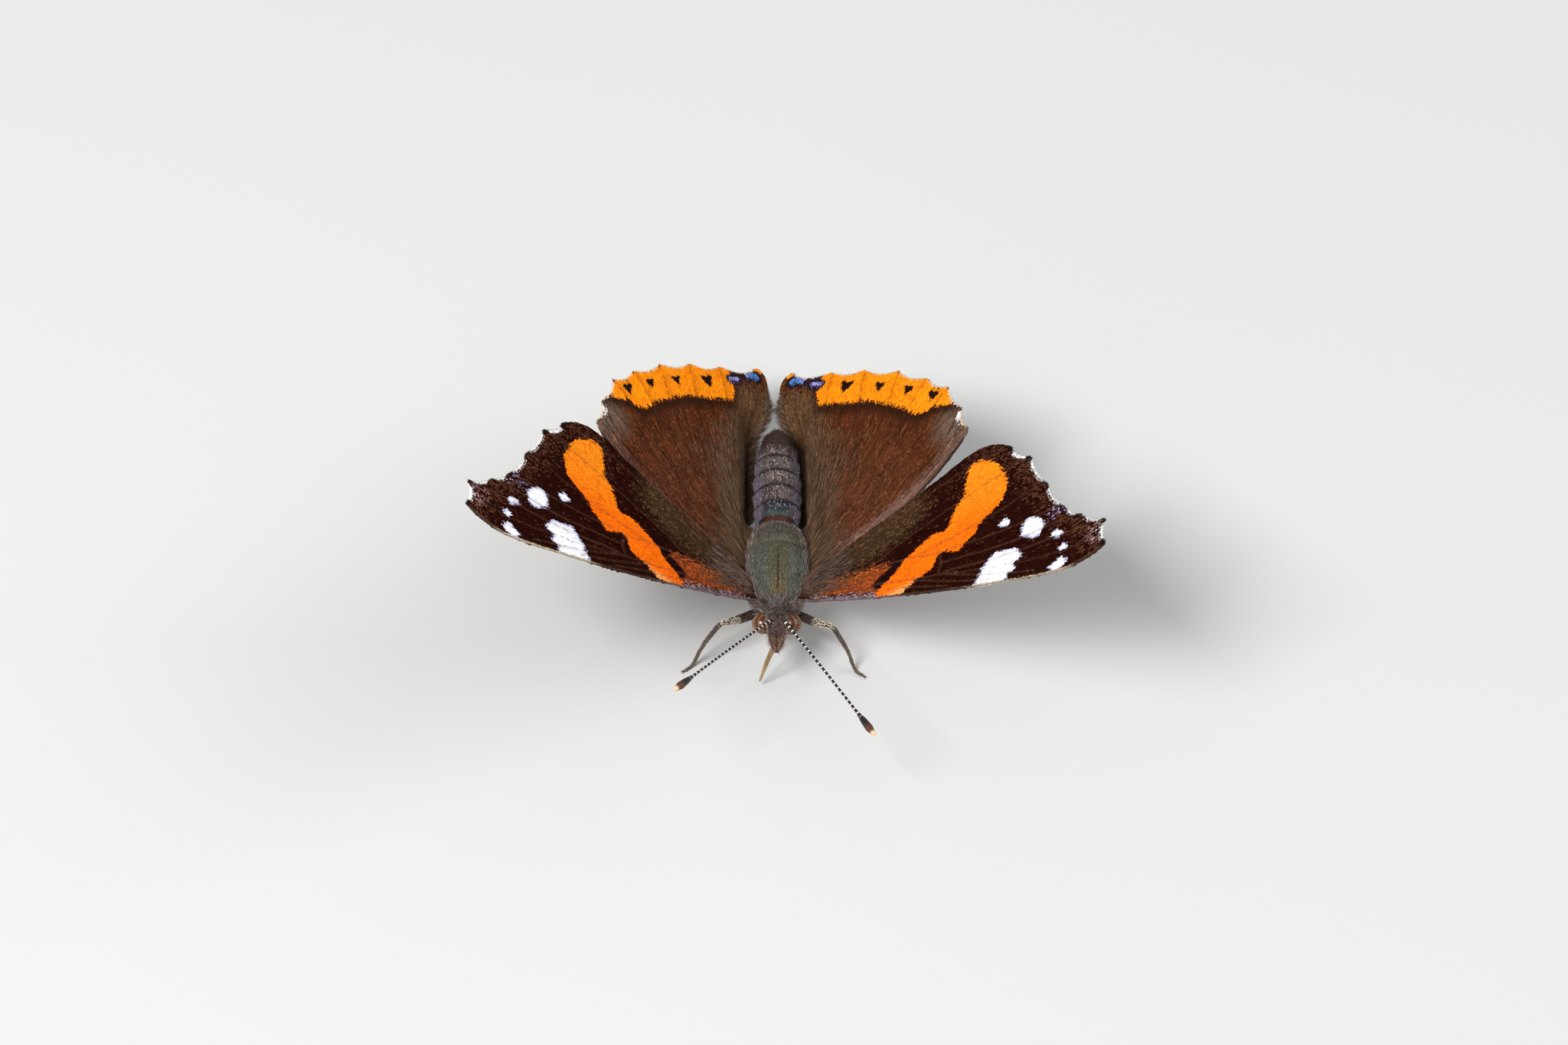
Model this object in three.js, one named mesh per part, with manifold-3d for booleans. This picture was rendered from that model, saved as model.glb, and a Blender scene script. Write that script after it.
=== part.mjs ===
// Red admiral butterfly, life size, standing with its wings raised in a shallow V.
// Millimetres, +Z up. The head looks along -Y, so the animal's left side is +X. The soles are at z = 0.
import * as THREE from 'three';
import { mergeVertices } from 'three/addons/utils/BufferGeometryUtils.js';
import Module from 'manifold-3d';

const wasm = await Module();
wasm.setup();

// Driving dimensions
const GAP = 0.3;                    // clearance that parted pieces keep
const STANCE = 7.0;                 // height above the floor of the level from which the body is drawn
const FOREWING_ROOT = [2.48, -0.37, 0.47];
const HINDWING_ROOT = [2.48, 0.74, -0.95];
const WING_RAISE = 42;              // degrees between each wing and the floor
const WING_THICKNESS = 0.5;
const VEIN_HEIGHT = 0.12;           // ridge above the membrane, on both faces
const VEIN_HALF_WIDTH = 0.38;
const VEIN_STEP = 1.6;
const FLANK_SPACING = 0.3;          // least distance between the points beside a vein
const FILL_STEP = 1.9;
const FILL_SPACING = 1.05;
const FILL_STAGGER = 0.37;
const FILL_FIELD = { inner: -2, outer: 31, rear: -24, front: 10 };
const MARGIN_STEP = 0.9;
const SLOPE_STEP = 0.05;
const SCALLOP_DEPTH = 0.35;         // how far the margin curves in between two vein ends
const FOREWING_LENGTH = 31;         // from the root to the corner of the outer margin
const CAMBER = 0.5;                 // how far the middle of the wing stands above its root and tip
const FOREWING_SWEEP = 1.75;        // degrees, the left wing forward and the right one back
const HINDWING_SWEEP = -0.8;
const GUTTER = { depth: 1.65, edge: 0.8, width: 2.8, front: 6, frontRun: 3, rear: 16.5, rearRun: 3.5 };
const SOLE_LENGTH = 0.9;
const SOLE_CUT = 0.6;               // the sole lies this share of the toe's radius below its axis
const END_SHARE = 0.04;             // share of a trunk's length rounded off at each end
const TRUNK = { thoraxSides: 24, thoraxRings: 20, abdomenSides: 22, abdomenRings: 36 };
const LIMB_SIDES = 8;
const LIMB_STEPS = { neck: 4, palp: 10, proboscis: 14, foreleg: 10, leg: 26, sole: 3 };
const NECK_SIDES = 14;
const PALP_SIDES = 10;
const BALL_ROWS = { shown: 12, clearance: 10 };
const GROUND = { width: 60, depth: 4 };
const END_BULGE = 0.6;              // how far a limb's end stands out, as a share of its radius

const COLOURS = {
  thorax: 0x6b6552,
  abdomen: 0x4a4046,
  head: 0x5a473c,
  eye: 0x6b3512,
  palp: 0x7d5d55,
  antenna: 0x1f1a18,
  proboscis: 0xb09468,
  forewing: 0x2a1a14,
  hindwing: 0x5a3a26,
  leg: 0x4a3a2c,
};

// A wing is drawn flat in its own plane: u runs outward from the forewing root, v forward.
const FOREWING = {
  costa: [
    [-1.7, -0.6], [0, 0.33], [5, 2.55], [9.3, 4.25], [15, 6.3],
    [20, 7.75], [26, 9.2], [28.5, 9.15], [30.5, 8.5],
  ],
  veinEnds: [
    [30.5, 8.5], [30.5, 5.9], [28.1, 4.4], [26.4, 2.93], [24.7, -0.07], [22.9, -3.59], [20.75, -5.37],
  ],
  dorsum: [
    [20.75, -5.37], [19, -6.3], [17, -6.45], [14.7, -5.8],
    [10, -4.5], [5, -3.5], [1.5, -2.7], [-1.7, -2.3],
  ],
  veins: {
    subcosta: [[-0.8, 0], [5, 2.1], [10, 3.9], [14.8, 5.9]],
    radius: [[-0.8, -0.4], [5, 1.5], [10, 3.2], [13.6, 4.3], [20, 6.3], [26, 7.5], [30.3, 7.7]],
    radiusFront: [[11, 3.6], [15.5, 5.8], [18.6, 7.0]],
    radiusOuter: [[14.6, 4.7], [19, 6.7], [23.4, 8.2]],
    mediaOne: [[14.2, 4.3], [21, 5.5], [30.3, 6]],
    mediaTwo: [[13.9, 3.3], [21, 4.4], [27.9, 4.4]],
    cellEnd: [[13.6, 4.3], [14, 3.3], [13.7, 2.2]],
    mediaThree: [[13.7, 2.2], [20, 2.9], [26.2, 2.93]],
    cubitus: [[-0.8, -1], [5, -0.1], [9, 0.9], [13.7, 2.2]],
    cubitusOne: [[11.2, 1.5], [18, 1.0], [24.5, -0.07]],
    cubitusTwo: [[6.5, 0.25], [10, -0.7], [16, -2.0], [22.7, -3.5]],
    anal: [[-0.8, -1.5], [8, -3], [16, -4.85], [20.5, -5.3]],
  },
};

const HINDWING = {
  costa: [
    [-1.7, -1.5], [3, -2.0], [6, -2.4], [9, -3.2], [12, -4.5], [14.6, -6.1], [16.2, -7.4], [16.84, -8.22],
  ],
  veinEnds: [
    [16.84, -8.22], [16.39, -10.82], [15.03, -13.68], [12.82, -15.74],
    [9.76, -18.1], [6.2, -20.14], [2.65, -21.8], [-1.76, -23.85],
  ],
  dorsum: [
    [-1.76, -23.85], [-2.6, -23.6], [-2.87, -22.7], [-2.6, -20],
    [-2.2, -17], [-1.95, -12], [-1.85, -9], [-1.7, -6],
  ],
  veins: {
    subcosta: [[-0.6, -2.4], [4, -3.2], [10, -4.6], [16, -7.5]],
    radius: [[1.5, -3.2], [7, -5.2], [12, -6.6], [16.6, -8.4]],
    mediaOne: [[5, -5.2], [8.5, -7], [16.2, -10.8]],
    mediaTwo: [[7.4, -7], [10.5, -9.6], [14.9, -13.5]],
    cellEnd: [[6.6, -6.2], [7.4, -7.6], [7, -9.6]],
    mediaThree: [[7, -9.6], [9.6, -12], [12.7, -15.6]],
    cubitus: [[-0.6, -3.4], [2.6, -6], [4.6, -8.6], [7, -9.6]],
    cubitusOne: [[6, -9.3], [8, -13], [9.7, -17.9]],
    cubitusTwo: [[4.2, -8.2], [5, -13], [6.2, -19.9]],
    analOne: [[0.2, -5.4], [1, -12], [2.6, -21.6]],
    analTwo: [[-0.9, -7], [-0.9, -13], [-1.5, -23.4]],
  },
};

// Stations along the body: y, height of the centre, half width, half height up, half height down.
const THORAX = [
  [-1.0, -1.5, 0, 0, 0], [-0.75, -1.5, 1.1, 1.0, 1.1], [0, -1.4, 1.9, 1.9, 2.0], [1.2, -1.3, 2.4, 2.5, 2.5],
  [3.2, -1.25, 2.58, 2.78, 2.7], [5.2, -1.3, 2.5, 2.6, 2.55], [6.8, -1.35, 2.15, 2.0, 2.1],
  [7.7, -1.4, 1.5, 1.3, 1.4], [8, -1.4, 0, 0, 0],
];
const ABDOMEN = [
  [6.3, -1.45, 0, 0, 0], [7, -1.45, 1.4, 1.25, 1.3], [8.5, -1.45, 1.72, 1.5, 1.6],
  [11, -1.5, 1.82, 1.7, 1.75], [13.5, -1.55, 1.72, 1.6, 1.65],
  [15.5, -1.6, 1.42, 1.3, 1.35], [17, -1.65, 0.98, 0.9, 0.95],
  [17.8, -1.7, 0.5, 0.45, 0.5], [18, -1.7, 0, 0, 0],
];
const SEGMENT = { count: 7.5, swell: 0.05, groove: 0.03, grooveShare: 0.2, bulge: 0.9 };

const HEAD = { centre: [0, -2.05, -0.85], radii: [1.3, 1.08, 1.25] };
const NECK = { front: [0, -2.0, -1.05], back: [0, 0.2, -1.4], radius: 0.85 };
const EYE = { centre: [1.15, -2.15, -0.95], radius: 0.85 };
const PALP = {
  path: [[0.56, -2.2, -1.75], [0.56, -3.2, -1.75], [0.47, -4.1, -1.55], [0.31, -4.75, -1.35]],
  radii: [0.34, 0.38, 0.31, 0.15],
};
const ANTENNA = {
  base: [0.5, -2.55, 0.1],
  reachLeft: [7.2, -13, 2.2],
  reachRight: [-7.9, -11.5, 5.4],
  bow: 0.12,
  radii: [0.3, 0.25, 0.25, 0.25, 0.25, 0.25, 0.25, 0.28, 0.42, 0.42, 0.16],
  steps: 40,
};
const PROBOSCIS = {
  path: [[0, -2.2, -1.9], [-0.12, -2.8, -2.75], [-0.6, -3.4, -4.1], [-1.15, -3.8, -6.45]],
  radii: [0.25, 0.25, 0.25, 0.2],
};

// Each leg runs from its hip in the thorax over the knee and the ankle to the toe.
const MIDLEG = {
  path: [
    [1.2, 0.9, -3.2], [2.8, -0.2, -2.9], [4.4, -1.4, -2.1],
    [5.2, -1.5, -3.5], [5.9, -1.7, -5.0], [6.3, -1.85, -6.3],
  ],
  toe: [6.6, -2.1],
};
const HINDLEG = {
  path: [
    [1.2, 3.4, -3.2], [2.4, 4.6, -3.5], [3.6, 5.8, -2.7],
    [4.4, 7.2, -4.2], [5.2, 8.8, -5.8], [5.7, 9.9, -6.5],
  ],
  toe: [6.2, 10.9],
};
const LEG_RADII = [0.42, 0.4, 0.36, 0.3, 0.27, 0.25];
const TOE_RADIUS = 0.27;
const FORELEG = {
  path: [[0.7, -0.1, -2.7], [0.95, -0.6, -3.35], [0.9, -0.35, -4.1], [0.7, 0.45, -4.6]],
  radii: [0.34, 0.34, 0.3, 0.25],
};

// Solids
function solidOf(geometry) {
  const bare = geometry.index ? geometry.toNonIndexed() : geometry.clone();
  bare.deleteAttribute('normal');
  bare.deleteAttribute('uv');
  const merged = mergeVertices(bare, 1e-3);
  return new wasm.Manifold(new wasm.Mesh({
    numProp: 3,
    vertProperties: new Float32Array(merged.attributes.position.array),
    triVerts: new Uint32Array(merged.index.array),
  }));
}

function geometryOf(solid) {
  const mesh = solid.getMesh();
  const geometry = new THREE.BufferGeometry();
  geometry.setAttribute('position', new THREE.Float32BufferAttribute(mesh.vertProperties, 3));
  geometry.setIndex(new THREE.Uint32BufferAttribute(mesh.triVerts, 1));
  return geometry;
}

function largestBody(solid) {
  const bodies = solid.decompose();
  return bodies.reduce((best, body) => (body.volume() > best.volume() ? body : best));
}

function parted(solid, ...neighbours) {
  return largestBody(neighbours.reduce((rest, other) => rest.subtract(other), solid));
}

function trianglesToGeometry(vertices, faces) {
  const geometry = new THREE.BufferGeometry();
  geometry.setAttribute('position', new THREE.Float32BufferAttribute(vertices.flat(), 3));
  geometry.setIndex(faces.flat());
  return geometry;
}

// Rings of equal count joined into a skin, with a pole at each end.
function skinOverRings(rings, startPole, endPole) {
  const sides = rings[0].length;
  const vertices = [startPole, ...rings.flat(), endPole];
  const faces = [];
  const at = (ring, side) => 1 + ring * sides + (side % sides);
  for (let side = 0; side < sides; side += 1) {
    faces.push([0, at(0, side), at(0, side + 1)]);
    faces.push([vertices.length - 1, at(rings.length - 1, side + 1), at(rings.length - 1, side)]);
    for (let ring = 0; ring + 1 < rings.length; ring += 1) {
      faces.push([at(ring, side), at(ring + 1, side), at(ring, side + 1)]);
      faces.push([at(ring, side + 1), at(ring + 1, side), at(ring + 1, side + 1)]);
    }
  }
  return solidOf(trianglesToGeometry(vertices, faces));
}

function interpolate(stations, t) {
  const scaled = t * (stations.length - 1);
  const index = Math.min(Math.floor(scaled), stations.length - 2);
  const k = scaled - index;
  const before = stations[Math.max(index - 1, 0)];
  const after = stations[Math.min(index + 2, stations.length - 1)];
  return stations[index].map((value, i) => {
    const next = stations[index + 1][i];
    const slopeIn = (next - before[i]) / 2;
    const slopeOut = (after[i] - value) / 2;
    const k2 = k * k;
    const k3 = k2 * k;
    const ends = value + (3 * k2 - 2 * k3) * (next - value);
    return ends + (k3 - 2 * k2 + k) * slopeIn + (k3 - k2) * slopeOut;
  });
}

// A trunk along Y over stations. A margin makes it larger all round, to cut its neighbours clear.
function trunk(stations, sides, rings, margin, swell) {
  const loops = [];
  for (let i = 1; i < rings; i += 1) {
    const t = END_SHARE + ((1 - 2 * END_SHARE) * i) / rings;
    const [y, z, across, up, down] = interpolate(stations, t);
    const factor = 1 + swell(t);
    const loop = [];
    for (let side = 0; side < sides; side += 1) {
      const angle = (2 * Math.PI * side) / sides;
      const wide = across * factor + margin;
      const high = (Math.sin(angle) > 0 ? up : down) * factor + margin;
      loop.push([wide * Math.cos(angle), y, z + high * Math.sin(angle)]);
    }
    loops.push(loop);
  }
  const first = stations[0];
  const last = stations[stations.length - 1];
  return skinOverRings(loops, [0, first[0] - margin, first[1]], [0, last[0] + margin, last[1]]);
}

function smooth(value) {
  const k = THREE.MathUtils.clamp(value, 0, 1);
  return k * k * (3 - 2 * k);
}

function ball(centre, radii, margin, rows) {
  const geometry = new THREE.SphereGeometry(1, rows * 2, rows);
  geometry.scale(radii[0] + margin, radii[1] + margin, radii[2] + margin);
  geometry.translate(...centre);
  return solidOf(geometry);
}

// A round limb through points, tapering from radius to radius, with rounded ends.
function limb(path, radii, sides, steps, margin = 0) {
  const curve = new THREE.CatmullRomCurve3(path.map((p) => new THREE.Vector3(...p)), false, 'centripetal');
  const frames = curve.computeFrenetFrames(steps, false);
  const rings = [];
  for (let i = 0; i <= steps; i += 1) {
    const t = i / steps;
    const point = curve.getPointAt(t);
    const scaled = t * (radii.length - 1);
    const index = Math.min(Math.floor(scaled), radii.length - 2);
    const radius = THREE.MathUtils.lerp(radii[index], radii[index + 1], scaled - index) + margin;
    const ring = [];
    for (let side = 0; side < sides; side += 1) {
      const angle = (2 * Math.PI * side) / sides;
      const offset = frames.normals[i].clone().multiplyScalar(Math.cos(angle) * radius);
      offset.addScaledVector(frames.binormals[i], Math.sin(angle) * radius);
      ring.push(point.clone().add(offset).toArray());
    }
    rings.push(ring);
  }
  const bulgeIn = (radii[0] + margin) * END_BULGE;
  const bulgeOut = (radii[radii.length - 1] + margin) * END_BULGE;
  const start = curve.getPointAt(0).addScaledVector(frames.tangents[0], -bulgeIn);
  const end = curve.getPointAt(1).addScaledVector(frames.tangents[steps], bulgeOut);
  return skinOverRings(rings.map((ring) => ring.reverse()), start.toArray(), end.toArray());
}

function mirrored(points, side) {
  return points.map(([x, y, z]) => [x * side, y, z]);
}

// Wings
function splineThrough(points, step) {
  const knots = points.map(([u, v]) => new THREE.Vector3(u, v, 0));
  const curve = new THREE.CatmullRomCurve3(knots, false, 'centripetal');
  const count = Math.max(2, Math.round(curve.getLength() / step));
  return curve.getSpacedPoints(count).map((p) => [p.x, p.y]);
}

function scallopedMargin(ends) {
  const margin = [];
  for (let i = 0; i + 1 < ends.length; i += 1) {
    const [u0, v0] = ends[i];
    const [u1, v1] = ends[i + 1];
    const length = Math.hypot(u1 - u0, v1 - v0);
    const steps = Math.max(2, Math.round(length / MARGIN_STEP));
    const depth = Math.min(SCALLOP_DEPTH, 0.12 * length);
    for (let k = 0; k < steps; k += 1) {
      const t = k / steps;
      const inward = (depth * Math.sin(Math.PI * t)) / length;
      margin.push([
        u0 + (u1 - u0) * t + (v1 - v0) * inward,
        v0 + (v1 - v0) * t - (u1 - u0) * inward,
      ]);
    }
  }
  return margin;
}

function wingOutline(wing) {
  const costa = splineThrough(wing.costa, MARGIN_STEP).slice(0, -1);
  const dorsum = splineThrough(wing.dorsum, MARGIN_STEP);
  return [...costa, ...scallopedMargin(wing.veinEnds), ...dorsum];
}

function insideOutline(point, outline) {
  let inside = false;
  for (let i = 0, j = outline.length - 1; i < outline.length; j = i, i += 1) {
    const [ui, vi] = outline[i];
    const [uj, vj] = outline[j];
    const crosses = vi > point[1] !== vj > point[1];
    if (crosses && point[0] < ((uj - ui) * (point[1] - vi)) / (vj - vi) + ui) inside = !inside;
  }
  return inside;
}

function turn(a, b, c) {
  return (b[0] - a[0]) * (c[1] - a[1]) - (b[1] - a[1]) * (c[0] - a[0]);
}

function circleHolds(a, b, c, point) {
  const rows = [a, b, c].map((p) => [p[0] - point[0], p[1] - point[1]]);
  const squares = rows.map(([u, v]) => u * u + v * v);
  const value = squares[0] * (rows[1][0] * rows[2][1] - rows[2][0] * rows[1][1])
    - squares[1] * (rows[0][0] * rows[2][1] - rows[2][0] * rows[0][1])
    + squares[2] * (rows[0][0] * rows[1][1] - rows[1][0] * rows[0][1]);
  return value > 1e-9;
}

// Delaunay triangles over plane points, each turning left.
function triangulate(points) {
  const far = 1000;
  const all = [...points, [-far, -far], [far, -far], [0, far]];
  const count = points.length;
  let triangles = [[count, count + 1, count + 2]];
  points.forEach((point, index) => {
    const edges = new Map();
    triangles = triangles.filter((triangle) => {
      if (!circleHolds(...triangle.map((i) => all[i]), point)) return true;
      [[0, 1], [1, 2], [2, 0]].forEach(([a, b]) => {
        const back = `${triangle[b]},${triangle[a]}`;
        if (edges.has(back)) edges.delete(back);
        else edges.set(`${triangle[a]},${triangle[b]}`, [triangle[a], triangle[b]]);
      });
      return false;
    });
    edges.forEach(([a, b]) => triangles.push([a, b, index]));
  });
  return triangles.filter((triangle) => triangle.every((i) => i < count));
}

function wingPoints(wing, outline) {
  const points = outline.map((place) => ({ place, ridge: 0 }));
  const distance = (a, b) => Math.hypot(a[0] - b[0], a[1] - b[1]);
  const apart = (place, least) => points.every((point) => distance(point.place, place) > least);
  const add = (place, ridge, least) => {
    if (insideOutline(place, outline) && apart(place, least)) points.push({ place, ridge });
  };
  const lines = Object.values(wing.veins).map((vein) => splineThrough(vein, VEIN_STEP));
  lines.forEach((line) => line.forEach((place) => add(place, VEIN_HEIGHT, VEIN_HALF_WIDTH)));
  lines.forEach((line) => line.forEach((place, i) => {
    const before = line[Math.max(i - 1, 0)];
    const after = line[Math.min(i + 1, line.length - 1)];
    const length = Math.hypot(after[0] - before[0], after[1] - before[1]);
    const across = [(before[1] - after[1]) / length, (after[0] - before[0]) / length];
    [-VEIN_HALF_WIDTH, VEIN_HALF_WIDTH].forEach((offset) => {
      add([place[0] + across[0] * offset, place[1] + across[1] * offset], 0, FLANK_SPACING);
    });
  }));
  for (let u = FILL_FIELD.inner; u < FILL_FIELD.outer; u += FILL_STEP) {
    for (let v = FILL_FIELD.rear; v < FILL_FIELD.front; v += FILL_STEP) {
      add([u + FILL_STAGGER * (v % 2), v], 0, FILL_SPACING);
    }
  }
  return points;
}

function forewingHeight(u) {
  return CAMBER * (Math.sin((Math.PI * Math.max(u, 0)) / FOREWING_LENGTH) - 0.5);
}

// The hindwing's inner edge folds down along the side of the abdomen.
function hindwingHeight(u, v) {
  const inward = smooth((GUTTER.edge - u) / GUTTER.width);
  const begun = smooth((-v - GUTTER.front) / GUTTER.frontRun);
  const ended = smooth((-v - GUTTER.rear) / GUTTER.rearRun);
  return forewingHeight(u) - GUTTER.depth * inward * begun * (1 - ended);
}

// A plate over the wing's plan, split into triangles alike on both faces, then raised to its place.
function wingSolid(wing, root, height, sweep, side) {
  const outline = wingOutline(wing);
  const points = wingPoints(wing, outline);
  const middle = (triangle, axis) => triangle.reduce((sum, i) => sum + points[i].place[axis], 0) / 3;
  const plan = triangulate(points.map((p) => p.place)).filter((triangle) => {
    const flat = turn(...triangle.map((i) => points[i].place)) > 1e-4;
    return flat && insideOutline([middle(triangle, 0), middle(triangle, 1)], outline);
  });
  const raise = THREE.MathUtils.degToRad(WING_RAISE);
  const swing = THREE.MathUtils.degToRad(sweep * side);
  const place = (point, w) => {
    const u = point.place[0] * Math.cos(swing) - point.place[1] * Math.sin(swing);
    const v = point.place[0] * Math.sin(swing) + point.place[1] * Math.cos(swing);
    const out = root[0] + u * Math.cos(raise) - w * Math.sin(raise);
    return [side * out, root[1] - v, root[2] + u * Math.sin(raise) + w * Math.cos(raise)];
  };
  const layer = (sign) => points.map((point) => {
    const [u, v] = point.place;
    const slope = (height(u + SLOPE_STEP, v) - height(u - SLOPE_STEP, v)) / (2 * SLOPE_STEP);
    const half = (WING_THICKNESS / 2 + point.ridge) * Math.hypot(1, slope);
    return place(point, height(u, v) + sign * half);
  });
  const vertices = [...layer(1), ...layer(-1)];
  const count = points.length;
  const faces = [];
  const edges = new Map();
  plan.forEach(([a, b, c]) => {
    faces.push([a, b, c], [c + count, b + count, a + count]);
    [[a, b], [b, c], [c, a]].forEach(([p, q]) => {
      if (edges.has(`${q},${p}`)) edges.delete(`${q},${p}`);
      else edges.set(`${p},${q}`, [p, q]);
    });
  });
  edges.forEach(([p, q]) => faces.push([q, p, p + count], [q, p + count, q + count]));
  const turned = side < 0 ? faces : faces.map(([a, b, c]) => [a, c, b]);
  return solidOf(trianglesToGeometry(vertices, turned));
}

// Body pieces
const noSwell = () => 0;
const thorax = trunk(THORAX, TRUNK.thoraxSides, TRUNK.thoraxRings, 0, noSwell);
const thoraxClear = trunk(THORAX, TRUNK.thoraxSides, TRUNK.thoraxRings, GAP, noSwell);

function segmentSwell(t) {
  const phase = (t * SEGMENT.count) % 1;
  const inGroove = phase > 1 - SEGMENT.grooveShare;
  return inGroove ? -SEGMENT.groove : SEGMENT.swell * Math.sin(Math.PI * phase * SEGMENT.bulge);
}

const fullSwell = () => SEGMENT.swell;
const abdomen = parted(trunk(ABDOMEN, TRUNK.abdomenSides, TRUNK.abdomenRings, 0, segmentSwell), thoraxClear);
const abdomenClear = trunk(ABDOMEN, TRUNK.abdomenSides, TRUNK.abdomenRings, GAP, fullSwell);

function headSolid(margin) {
  const neck = limb([NECK.front, NECK.back], [NECK.radius, NECK.radius], NECK_SIDES, LIMB_STEPS.neck, margin);
  return ball(HEAD.centre, HEAD.radii, margin, BALL_ROWS.shown).add(neck);
}

const head = parted(headSolid(0), thoraxClear);
const headClear = headSolid(GAP);

function eyeBall(side, margin, rows) {
  const centre = [EYE.centre[0] * side, EYE.centre[1], EYE.centre[2]];
  return ball(centre, [EYE.radius, EYE.radius, EYE.radius], margin, rows);
}

const eye = (side) => parted(eyeBall(side, 0, BALL_ROWS.shown), headClear);
const eyeClear = (side) => eyeBall(side, GAP, BALL_ROWS.clearance);

function palp(side) {
  return limb(mirrored(PALP.path, side), PALP.radii, PALP_SIDES, LIMB_STEPS.palp);
}

function antenna(side) {
  const reach = new THREE.Vector3(...(side > 0 ? ANTENNA.reachLeft : ANTENNA.reachRight));
  const base = new THREE.Vector3(ANTENNA.base[0] * side, ANTENNA.base[1], ANTENNA.base[2]);
  const path = [0, 0.25, 0.5, 0.75, 1].map((t) => {
    const point = base.clone().addScaledVector(reach, t);
    point.z += ANTENNA.bow * Math.sin(Math.PI * t);
    return point.toArray();
  });
  return parted(limb(path, ANTENNA.radii, LIMB_SIDES, ANTENNA.steps), headClear, eyeClear(side));
}

function walkingLeg(leg, side) {
  const floor = -STANCE;
  const ankle = leg.path[leg.path.length - 1];
  const toe = [leg.toe[0], leg.toe[1], floor + TOE_RADIUS * SOLE_CUT];
  const path = mirrored([...leg.path, toe], side);
  const shank = limb(path, [...LEG_RADII, TOE_RADIUS], LIMB_SIDES, LIMB_STEPS.leg);
  const onward = new THREE.Vector2(toe[0] - ankle[0], toe[1] - ankle[1]).setLength(SOLE_LENGTH);
  const tip = [toe[0] + onward.x, toe[1] + onward.y, toe[2]];
  const foot = limb(mirrored([toe, tip], side), [TOE_RADIUS, TOE_RADIUS], LIMB_SIDES, LIMB_STEPS.sole);
  const ground = new THREE.BoxGeometry(GROUND.width, GROUND.width, GROUND.depth);
  ground.translate(0, 0, floor - GROUND.depth / 2);
  return parted(shank.add(foot), thoraxClear, solidOf(ground));
}

const pieces = { thorax, abdomen, head };
pieces.proboscis = parted(limb(PROBOSCIS.path, PROBOSCIS.radii, LIMB_SIDES, LIMB_STEPS.proboscis), headClear);

for (const [name, side] of [['left', 1], ['right', -1]]) {
  pieces[`eye_${name}`] = eye(side);
  pieces[`palp_${name}`] = parted(palp(side), headClear, eyeClear(side));
  pieces[`antenna_${name}`] = antenna(side);
  const forewing = wingSolid(FOREWING, FOREWING_ROOT, forewingHeight, FOREWING_SWEEP, side);
  pieces[`forewing_${name}`] = parted(forewing, thoraxClear);
  const hindwing = wingSolid(HINDWING, HINDWING_ROOT, hindwingHeight, HINDWING_SWEEP, side);
  pieces[`hindwing_${name}`] = parted(hindwing, thoraxClear, abdomenClear);
  const foreleg = limb(mirrored(FORELEG.path, side), FORELEG.radii, LIMB_SIDES, LIMB_STEPS.foreleg);
  pieces[`foreleg_${name}`] = parted(foreleg, thoraxClear);
  pieces[`midleg_${name}`] = walkingLeg(MIDLEG, side);
  pieces[`hindleg_${name}`] = walkingLeg(HINDLEG, side);
}

const FINISH = {
  eye: { roughness: 0.15 },
  forewing: { roughness: 0.75 },
  hindwing: { roughness: 0.75 },
};

const butterfly = new THREE.Group();
for (const [name, solid] of Object.entries(pieces)) {
  const kind = name.split('_')[0];
  const colour = COLOURS[kind] ?? COLOURS.leg;
  const finish = { roughness: 0.85, metalness: 0, ...FINISH[kind] };
  const material = new THREE.MeshStandardMaterial({ color: colour, ...finish });
  const mesh = new THREE.Mesh(geometryOf(solid), material);
  mesh.name = name;
  butterfly.add(mesh);
}

// The origin is under the middle of the whole, on the floor.
const extent = new THREE.Box3().setFromObject(butterfly);
butterfly.position.set(-(extent.min.x + extent.max.x) / 2, -(extent.min.y + extent.max.y) / 2, -extent.min.z);

export default butterfly;
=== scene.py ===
"""A life-size red admiral butterfly, standing with its wings raised in a shallow V.

Places are millimetres in the body's own frame: the origin is midway between the forewing roots,
X towards the animal's left, Y towards its tail, Z up. place() turns them into metres of the frame.
"""
import bisect
import math
import random

import bmesh
import bpy
from mathutils import Matrix, Vector, kdtree, noise


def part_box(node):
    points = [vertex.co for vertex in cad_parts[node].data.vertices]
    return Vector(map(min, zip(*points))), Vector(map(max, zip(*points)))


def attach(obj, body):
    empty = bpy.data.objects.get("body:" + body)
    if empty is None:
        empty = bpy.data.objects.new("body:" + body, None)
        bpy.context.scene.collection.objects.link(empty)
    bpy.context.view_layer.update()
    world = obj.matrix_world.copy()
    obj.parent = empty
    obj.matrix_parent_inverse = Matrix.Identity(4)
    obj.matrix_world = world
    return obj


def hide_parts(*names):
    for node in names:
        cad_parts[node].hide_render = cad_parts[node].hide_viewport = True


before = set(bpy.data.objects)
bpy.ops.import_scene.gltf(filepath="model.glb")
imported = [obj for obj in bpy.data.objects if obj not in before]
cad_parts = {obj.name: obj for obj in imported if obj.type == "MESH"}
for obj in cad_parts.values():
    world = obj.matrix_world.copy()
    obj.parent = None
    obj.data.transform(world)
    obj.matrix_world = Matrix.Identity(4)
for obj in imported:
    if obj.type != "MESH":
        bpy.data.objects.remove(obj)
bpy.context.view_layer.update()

MM = 0.001
STANCE = 7.0
THORAX_FRONT = -1.0
thorax_low, thorax_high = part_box("thorax")
ORIGIN = Vector((
    (thorax_low[0] + thorax_high[0]) / 2,
    thorax_low[1] - THORAX_FRONT * MM,
    STANCE * MM,
))
SIDES = (("left", 1), ("right", -1))

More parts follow.
